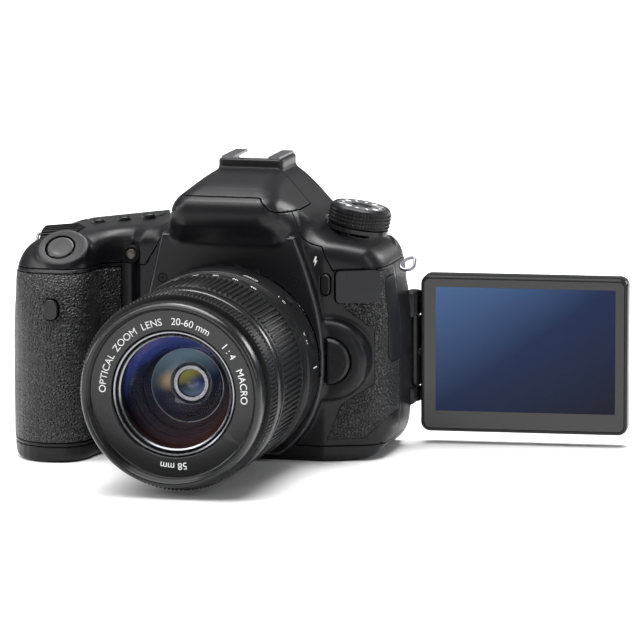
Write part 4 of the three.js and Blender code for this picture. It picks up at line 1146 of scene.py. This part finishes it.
def round_print(text, size, radius, middle, height):
    """Letters bent round the lens axis on a flat ring; the middle is an angle in degrees."""
    points, faces = lettering(text, size)
    turn = math.radians(middle) - points[:, 0] / radius
    reach = radius + points[:, 1]
    level = np.full(len(points), -height)
    return np.stack([reach * np.cos(turn), level, AXIS_Z + reach * np.sin(turn)], 1), faces


def wrapped_print(text, size, radius, middle, height):
    """Letters wrapped round the barrel, read from behind the camera."""
    points, faces = lettering(text, size)
    turn = math.radians(middle) - points[:, 0] / radius
    return np.stack([radius * np.cos(turn), -height - points[:, 1], AXIS_Z + radius * np.sin(turn)], 1), faces


NAME_RING = {"size": 3.4, "radius": 24.5, "height": 113.66}
marks = [round_print(text, NAME_RING["size"], NAME_RING["radius"], middle, NAME_RING["height"])
         for text, middle in (("OPTICAL", 165), ("ZOOM  LENS", 122), ("20-60 mm", 75), ("1 : 4", 38),
                              ("MACRO", 8))]
marks.append(round_print("58 mm", NAME_RING["size"], NAME_RING["radius"], -90, NAME_RING["height"]))
add_piece("ring_print", merged(*marks), WHITE, "inner_barrel", "lens_plastic")
zoom_numbers = [wrapped_print(text, 2.3, 33.62, middle, 67.8)
                for text, middle in (("60", 62), ("50", 74), ("40", 86), ("30", 98), ("20", 110))]
add_piece("zoom_print", merged(*zoom_numbers), WHITE, "zoom_ring", "lens_plastic")
switch_words = [wrapped_print(text, 1.9, 34.27, middle, 60.3)
                for text, middle in (("A   M", 20), ("I   O", 46), ("|||||||||||", 68))]
index = [wrapped_print("|", 5.0, 34.27, 1.5, 56)]
add_piece("barrel_print", merged(*switch_words, *index), WHITE, "lens", "lens_plastic")

# ---------------------------------------------------------------- screen
def on_screen(shape):
    """Local X runs away from the hinge, local Y up, local Z towards the viewer of the open screen's face."""
    points, faces = shape
    u, v, w = np.asarray(points).T
    c, s = math.cos(OPEN_ANGLE), math.sin(OPEN_ANGLE)
    return np.stack([HINGE[0] + u * c + w * s, HINGE[1] + u * s - w * c, HINGE[2] + v], 1), faces


SCREEN_BOX = (2.7, -27.9, 76.0, 27.9)
shell_profile = [(2.2, -4.5), (1.0, -4.35), (0.3, -3.6), (0.0, -2.6), (0.0, 3.4), (0.25, 4.1), (0.8, 4.5),
                 (1.15, 4.5), (1.3, 4.2)]
housing = on_screen(frame_sweep(SCREEN_BOX, 3.4, shell_profile, 10))
stand_for("screen_housing", "screen_shell", housing, SMOOTH, split=28)
DISPLAY = (8.1, -20.4, 71.6, 23.7)


def display_painted_reflection():
    """A dark panel with a painted reflection and painted glow: blue, lighter towards the upper left and
    darker towards the lower right, also given off as light; the black border is a separate piece.
    """
    finish = Finish("display", (0.004, 0.004, 0.005), 0.08, IOR=1.5, Specular_IOR_Level=0.12)
    split = finish.node("ShaderNodeSeparateXYZ", {"Vector": finish.place})
    c, s = math.cos(OPEN_ANGLE), math.sin(OPEN_ANGLE)
    left = (HINGE[0] + DISPLAY[0] * c) * MM
    right = (HINGE[0] + DISPLAY[2] * c) * MM
    low, high = (HINGE[2] + DISPLAY[1]) * MM, (HINGE[2] + DISPLAY[3]) * MM
    across = finish.between(split.outputs["X"], left, right, 0, 1)
    up = finish.between(split.outputs["Z"], low, high, 0, 1)
    # painted reflection: lighter towards the top and the left
    light = finish.node("ShaderNodeMath", {0: up, 1: across, 2: 0.0}, operation='SUBTRACT').outputs[0]
    cloud = finish.noise(22, 1)
    drift = finish.node("ShaderNodeMath", {0: cloud, 1: 0.12, 2: light}, operation='MULTIPLY_ADD').outputs[0]
    ramp = finish.node("ShaderNodeValToRGB", {"Fac": finish.between(drift, -0.9, 1.1, 0, 1)})
    ramp.color_ramp.elements[0].color = (0.0004, 0.001, 0.006, 1)
    ramp.color_ramp.elements[1].color = (0.035, 0.072, 0.16, 1)
    ramp.color_ramp.elements.new(0.5).color = (0.003, 0.009, 0.034, 1)
    finish.set("Base Color", ramp.outputs["Color"])
    # painted glow: the panel gives off its painted colours as light
    finish.set("Emission Color", ramp.outputs["Color"])
    finish.shader.inputs["Emission Strength"].default_value = 0.7
    finish.set("Roughness", finish.between(finish.noise(150, 2), 0.4, 0.8, 0.08, 0.14))
    return finish.material


BEZEL = moulded("display_border", (0.004, 0.004, 0.0045), 0.08, grain=1.2, depth=0.003, spread=0.02, wear=0)
PAINTED_SCREEN_GLOW = display_painted_reflection()
border = on_screen(frame_sweep((3.95, -26.65, 74.75, 26.65), 2.2, [(0, 3.2), (0, 4.35), (0.1, 4.45)], 10))
stand_for("screen_glass", "screen_border", border, BEZEL)
# the display area carries the painted reflection and painted glow
painted_panel = on_screen(frame_sweep(DISPLAY, 0.3, [(0, 4.3), (0, 4.5)], 2))
add_piece("screen_painted_panel", painted_panel, PAINTED_SCREEN_GLOW, "screen", "screen_glass")

# ---------------------------------------------------------------- small fixed pieces
LCD = moulded("grey_display", (0.016, 0.018, 0.017), 0.42, grain=1.5, depth=0.002, spread=0.03, wear=0,
              Specular_IOR_Level=0.1)


def on_shoulder(shape):
    """A shape laid on the falling top, where the display is."""
    points, faces = shape
    fall, middle = shoulder_frame()
    u, v, w = np.asarray(points).T
    x = u * math.cos(fall) - w * math.sin(fall)
    return np.stack([x, v, u * math.sin(fall) + w * math.cos(fall)], 1) + middle, faces


half_wide, half_tall = LCD_SIZE[0] / 2, LCD_SIZE[1] / 2
display = frame_sweep((-half_wide, -half_tall, half_wide, half_tall), 2,
                      [(0, -1.8), (0, -0.75), (0.25, -0.5)], 8)
stand_for("top_lcd_window", "top_display", on_shoulder(display), LCD)
eyecup_profile = [(0, 13.0), (0, 16.2), (0.5, 17.2), (1.4, 17.8), (6.2, 17.8), (7.4, 17.0), (8.0, 15.5),
                  (8.0, 12.9), (1.0, 12.9)]
eyecup = frame_sweep((-17.5, 71.5, 17.5, 94), 9, eyecup_profile, 10, closed=True)
x, y, z = eyecup[0].T
stand_for("eyecup", "eyecup_rubber", (np.stack([x, z, y], 1), eyecup[1]), RUBBER)


def strap_loop(at, direction):
    """A bent wire loop standing out from the body, along +X or -X."""
    path = []
    for t in np.linspace(0, 2 * math.pi, 40, endpoint=False):
        reach = 2.9 + 2.5 * math.copysign(abs(math.cos(t)) ** 0.8, math.cos(t))
        wide = 3.2 * math.copysign(abs(math.sin(t)) ** 0.7, math.sin(t)) * (0.75 + 0.25 * math.cos(t))
        path.append((at[0] + direction * reach, at[1] + 0.5 * wide, at[2] + 0.25 * reach + 0.75 * wide))
    return tube(path, 0.6, 12)


for node, direction in (("strap_lug_screen_side", 1), ("strap_lug_grip_side", -1)):
    low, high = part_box(node)
    middle = (low + high) / 2 / MM
    foot = {1: low.x, -1: high.x}[direction] / MM
    wire = strap_loop((foot, middle.y, middle.z - 0.6), direction)
    stand_for(node, node + "_wire", wire, RING_METAL)


def on_front(x, z, start=-64.0, end=-20.0):
    """The body's front surface at a place seen from in front."""
    x, z = np.asarray(x, float), np.asarray(z, float)
    y = np.full(x.shape, start)
    for _ in range(60):
        y = np.minimum(y + np.maximum(body_field(x, y, z), 0) * 0.7, end)
    return y


def decal(outline, lift=0.04, depth=0.3):
    """A flat mark that lies on the front of the body."""
    x, z = np.asarray(outline, float).T
    y = on_front(x, z)
    count = len(x)
    points = np.concatenate([np.stack([x, y - lift, z], 1), np.stack([x, y + depth, z], 1)])
    return points, grid_faces(2, count) + [list(range(count))]


bolt = np.array([(0.1, 1.7), (0.75, 1.7), (0.35, 0.35), (0.9, 0.35), (-0.15, -1.8), (0.05, -0.25),
                 (-0.5, -0.25)])
body_piece("flash_mark", decal(bolt + np.array([29.7, 70.2])), WHITE)


def cross_screw(x, y, z):
    """A small countersunk cross-head screw in the front plate; its cross is a flat black cross laid on the
    head, painted shade in place of a recessed slot.
    """
    head = [(0, 0.05), (0.8, 0.1), (1.05, 0.0), (1.15, -0.2), (1.15, -1.0), (0, -1.0)]
    # painted shade: the slot is a flat black cross standing on the head
    slot_shade_arms = [plate(rounded(-a, -b, a, b, 0.08), 0.07, 0.16) for a, b in ((0.75, 0.17), (0.17, 0.75))]
    rim = [(1.2, -0.6), (1.75, -0.6), (1.75, 0.12), (1.6, 0.22), (1.3, 0.1)]
    return (placed(merged(lathe(head, 32)), FORWARD, (x, y, z)), placed(merged(*slot_shade_arms), FORWARD, (x, y, z)),
            placed(lathe(rim, 40), FORWARD, (x, y, z)))


screws = zip(*[cross_screw(side * MASK_SCREW[0], *MASK_SCREW[1:]) for side in (-1, 1)])
# the black crosses on the heads are painted shade
for name, shapes, material in zip(("plate_screws", "plate_screw_slot_shade", "plate_screw_rims"), screws,
                                  (GREY, FLAT, FLAT)):
    body_piece(name, merged(*shapes), material)


def bay_field(x, y, z):
    return body_field(x, y, z) + BAY_DEPTH


def bay_zone(x, y, z):
    return np.maximum(flash_zone(x, y, z) - 1.5, 82 - z)


# The floor of the bay that the flash head folds into; it covers the middle of the bay only
bay_points, bay_faces = surface(bay_field, (-34, -56, 78), (34, -8, 104), 1.2)
bay = tidy(*clip(bay_points, bay_faces.tolist(), bay_zone))
body_piece("flash_bay_floor", bay, FLAT, wall=0.8)

# A fine bead that stands in for the bevel of the front plate; its grey, lighter than the body, is a painted
# highlight where the bevel catches light
BEAD_HIGHLIGHT_GREY = moulded("bead_painted_highlight", (0.05, 0.05, 0.056), 0.3, grain=0.5, depth=0.004, wear=0.0)
plate_middle = np.array([0.0, 40.0])
edge_u, edge_v = ((MASK - plate_middle) * (0.976, 0.985) + plate_middle).T
bead = tube(np.stack([edge_u, np.full(len(edge_u), -42.28), edge_v], 1), 0.3, 10)
body_piece("front_plate_bead", bead, BEAD_HIGHLIGHT_GREY)

lock_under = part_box("lock_slider")[0].y / MM - 0.5
slot_floor = plate(rounded(-52.5, 8.6, -37.5, 14.4, 1.5), -lock_under, -lock_under + 0.6)
u, v, w = slot_floor[0].T
body_piece("lock_slot_floor", (np.stack([u, -w, v], 1), slot_floor[1]), FLAT)


# ---------------------------------------------------------------- floor, light and camera
def floor_finish():
    finish = Finish("floor_paper", (0.86, 0.86, 0.86), 0.8)
    finish.set("Base Color", finish.vary(0.05, 0.01, 3))
    finish.bump(finish.noise(400, 2), 0.1, 0.05)
    return finish.material


def add_floor():
    mesh = bpy.data.meshes.new("floor")
    reach = 30.0
    corners = [(-reach, -reach, 0), (reach, -reach, 0), (reach, reach, 0), (-reach, reach, 0)]
    mesh.from_pydata(corners, [], [(0, 1, 2, 3)])
    mesh.materials.append(floor_finish())
    floor = bpy.data.objects.new("floor", mesh)
    floor.location.z = -0.0001
    bpy.context.scene.collection.objects.link(floor)


def add_light(name, place, target, size, power):
    light = bpy.data.lights.new(name, 'AREA')
    light.shape = 'RECTANGLE'
    light.size, light.size_y = size
    light.energy = power
    holder = bpy.data.objects.new(name, light)
    holder.location = place
    holder.rotation_euler = (Vector(target) - Vector(place)).to_track_quat('-Z', 'Y').to_euler()
    bpy.context.scene.collection.objects.link(holder)


def add_sky_light():
    """A broad overhead light, as from a ceiling of softboxes, which keeps the paper floor white."""
    light = bpy.data.lights.new("ceiling", 'SUN')
    light.energy = 3.6
    light.angle = math.radians(60)
    holder = bpy.data.objects.new("ceiling", light)
    holder.rotation_euler = (math.radians(8), math.radians(-8), 0)
    bpy.context.scene.collection.objects.link(holder)


def add_camera():
    data = bpy.data.cameras.new("camera")
    data.lens = CAMERA_LENS
    data.sensor_width = 36
    data.clip_start, data.clip_end = 0.05, 200
    camera = bpy.data.objects.new("camera", data)
    a, e, r = CAMERA_TURN, CAMERA_RISE, CAMERA_ROLL
    back = Vector((math.sin(a) * math.cos(e), -math.cos(a) * math.cos(e), math.sin(e)))
    right = Vector((math.cos(a), math.sin(a), 0))
    up = back.cross(right)
    rolled_right = right * math.cos(r) + up * math.sin(r)
    rolled_up = up * math.cos(r) - right * math.sin(r)
    turn = Matrix((rolled_right, rolled_up, back)).transposed()
    camera.matrix_world = Matrix.Translation(Vector(CAMERA_PLACE) * MM) @ turn.to_4x4()
    bpy.context.scene.collection.objects.link(camera)
    bpy.context.scene.camera = camera


def add_world():
    world = bpy.data.worlds.new("studio")
    world.use_nodes = True
    world.node_tree.nodes["Background"].inputs["Color"].default_value = (1, 1, 1, 1)
    world.node_tree.nodes["Background"].inputs["Strength"].default_value = 0.22
    bpy.context.scene.world = world


add_floor()
add_world()
add_sky_light()
LIGHTS = [                     # name, place, target and size in metres, power in watts
    ("top_softbox", (0.1, 0.25, 1.1), (0, -0.02, 0.05), (0.9, 0.5), 14),
    ("left_softbox", (-1.1, -0.7, 0.9), (0, -0.03, 0.05), (0.35, 0.9), 9),
    ("left_strip", (-1.3, -0.15, 0.32), (0, -0.03, 0.05), (0.6, 0.3), 3),
    ("right_strip", (1.2, -0.25, 0.55), (0.03, 0, 0.05), (0.2, 0.7), 3),
    ("back_softbox", (0.75, 1.3, 0.5), (0.02, -0.05, 0.05), (0.4, 0.25), 3),
    ("front_fill", (0.3, -2.4, 1.1), (0.03, 0, 0.05), (0.9, 0.5), 4),
]
for light in LIGHTS:
    add_light(*light)
bpy.context.scene.view_settings.view_transform = 'Standard'
add_camera()
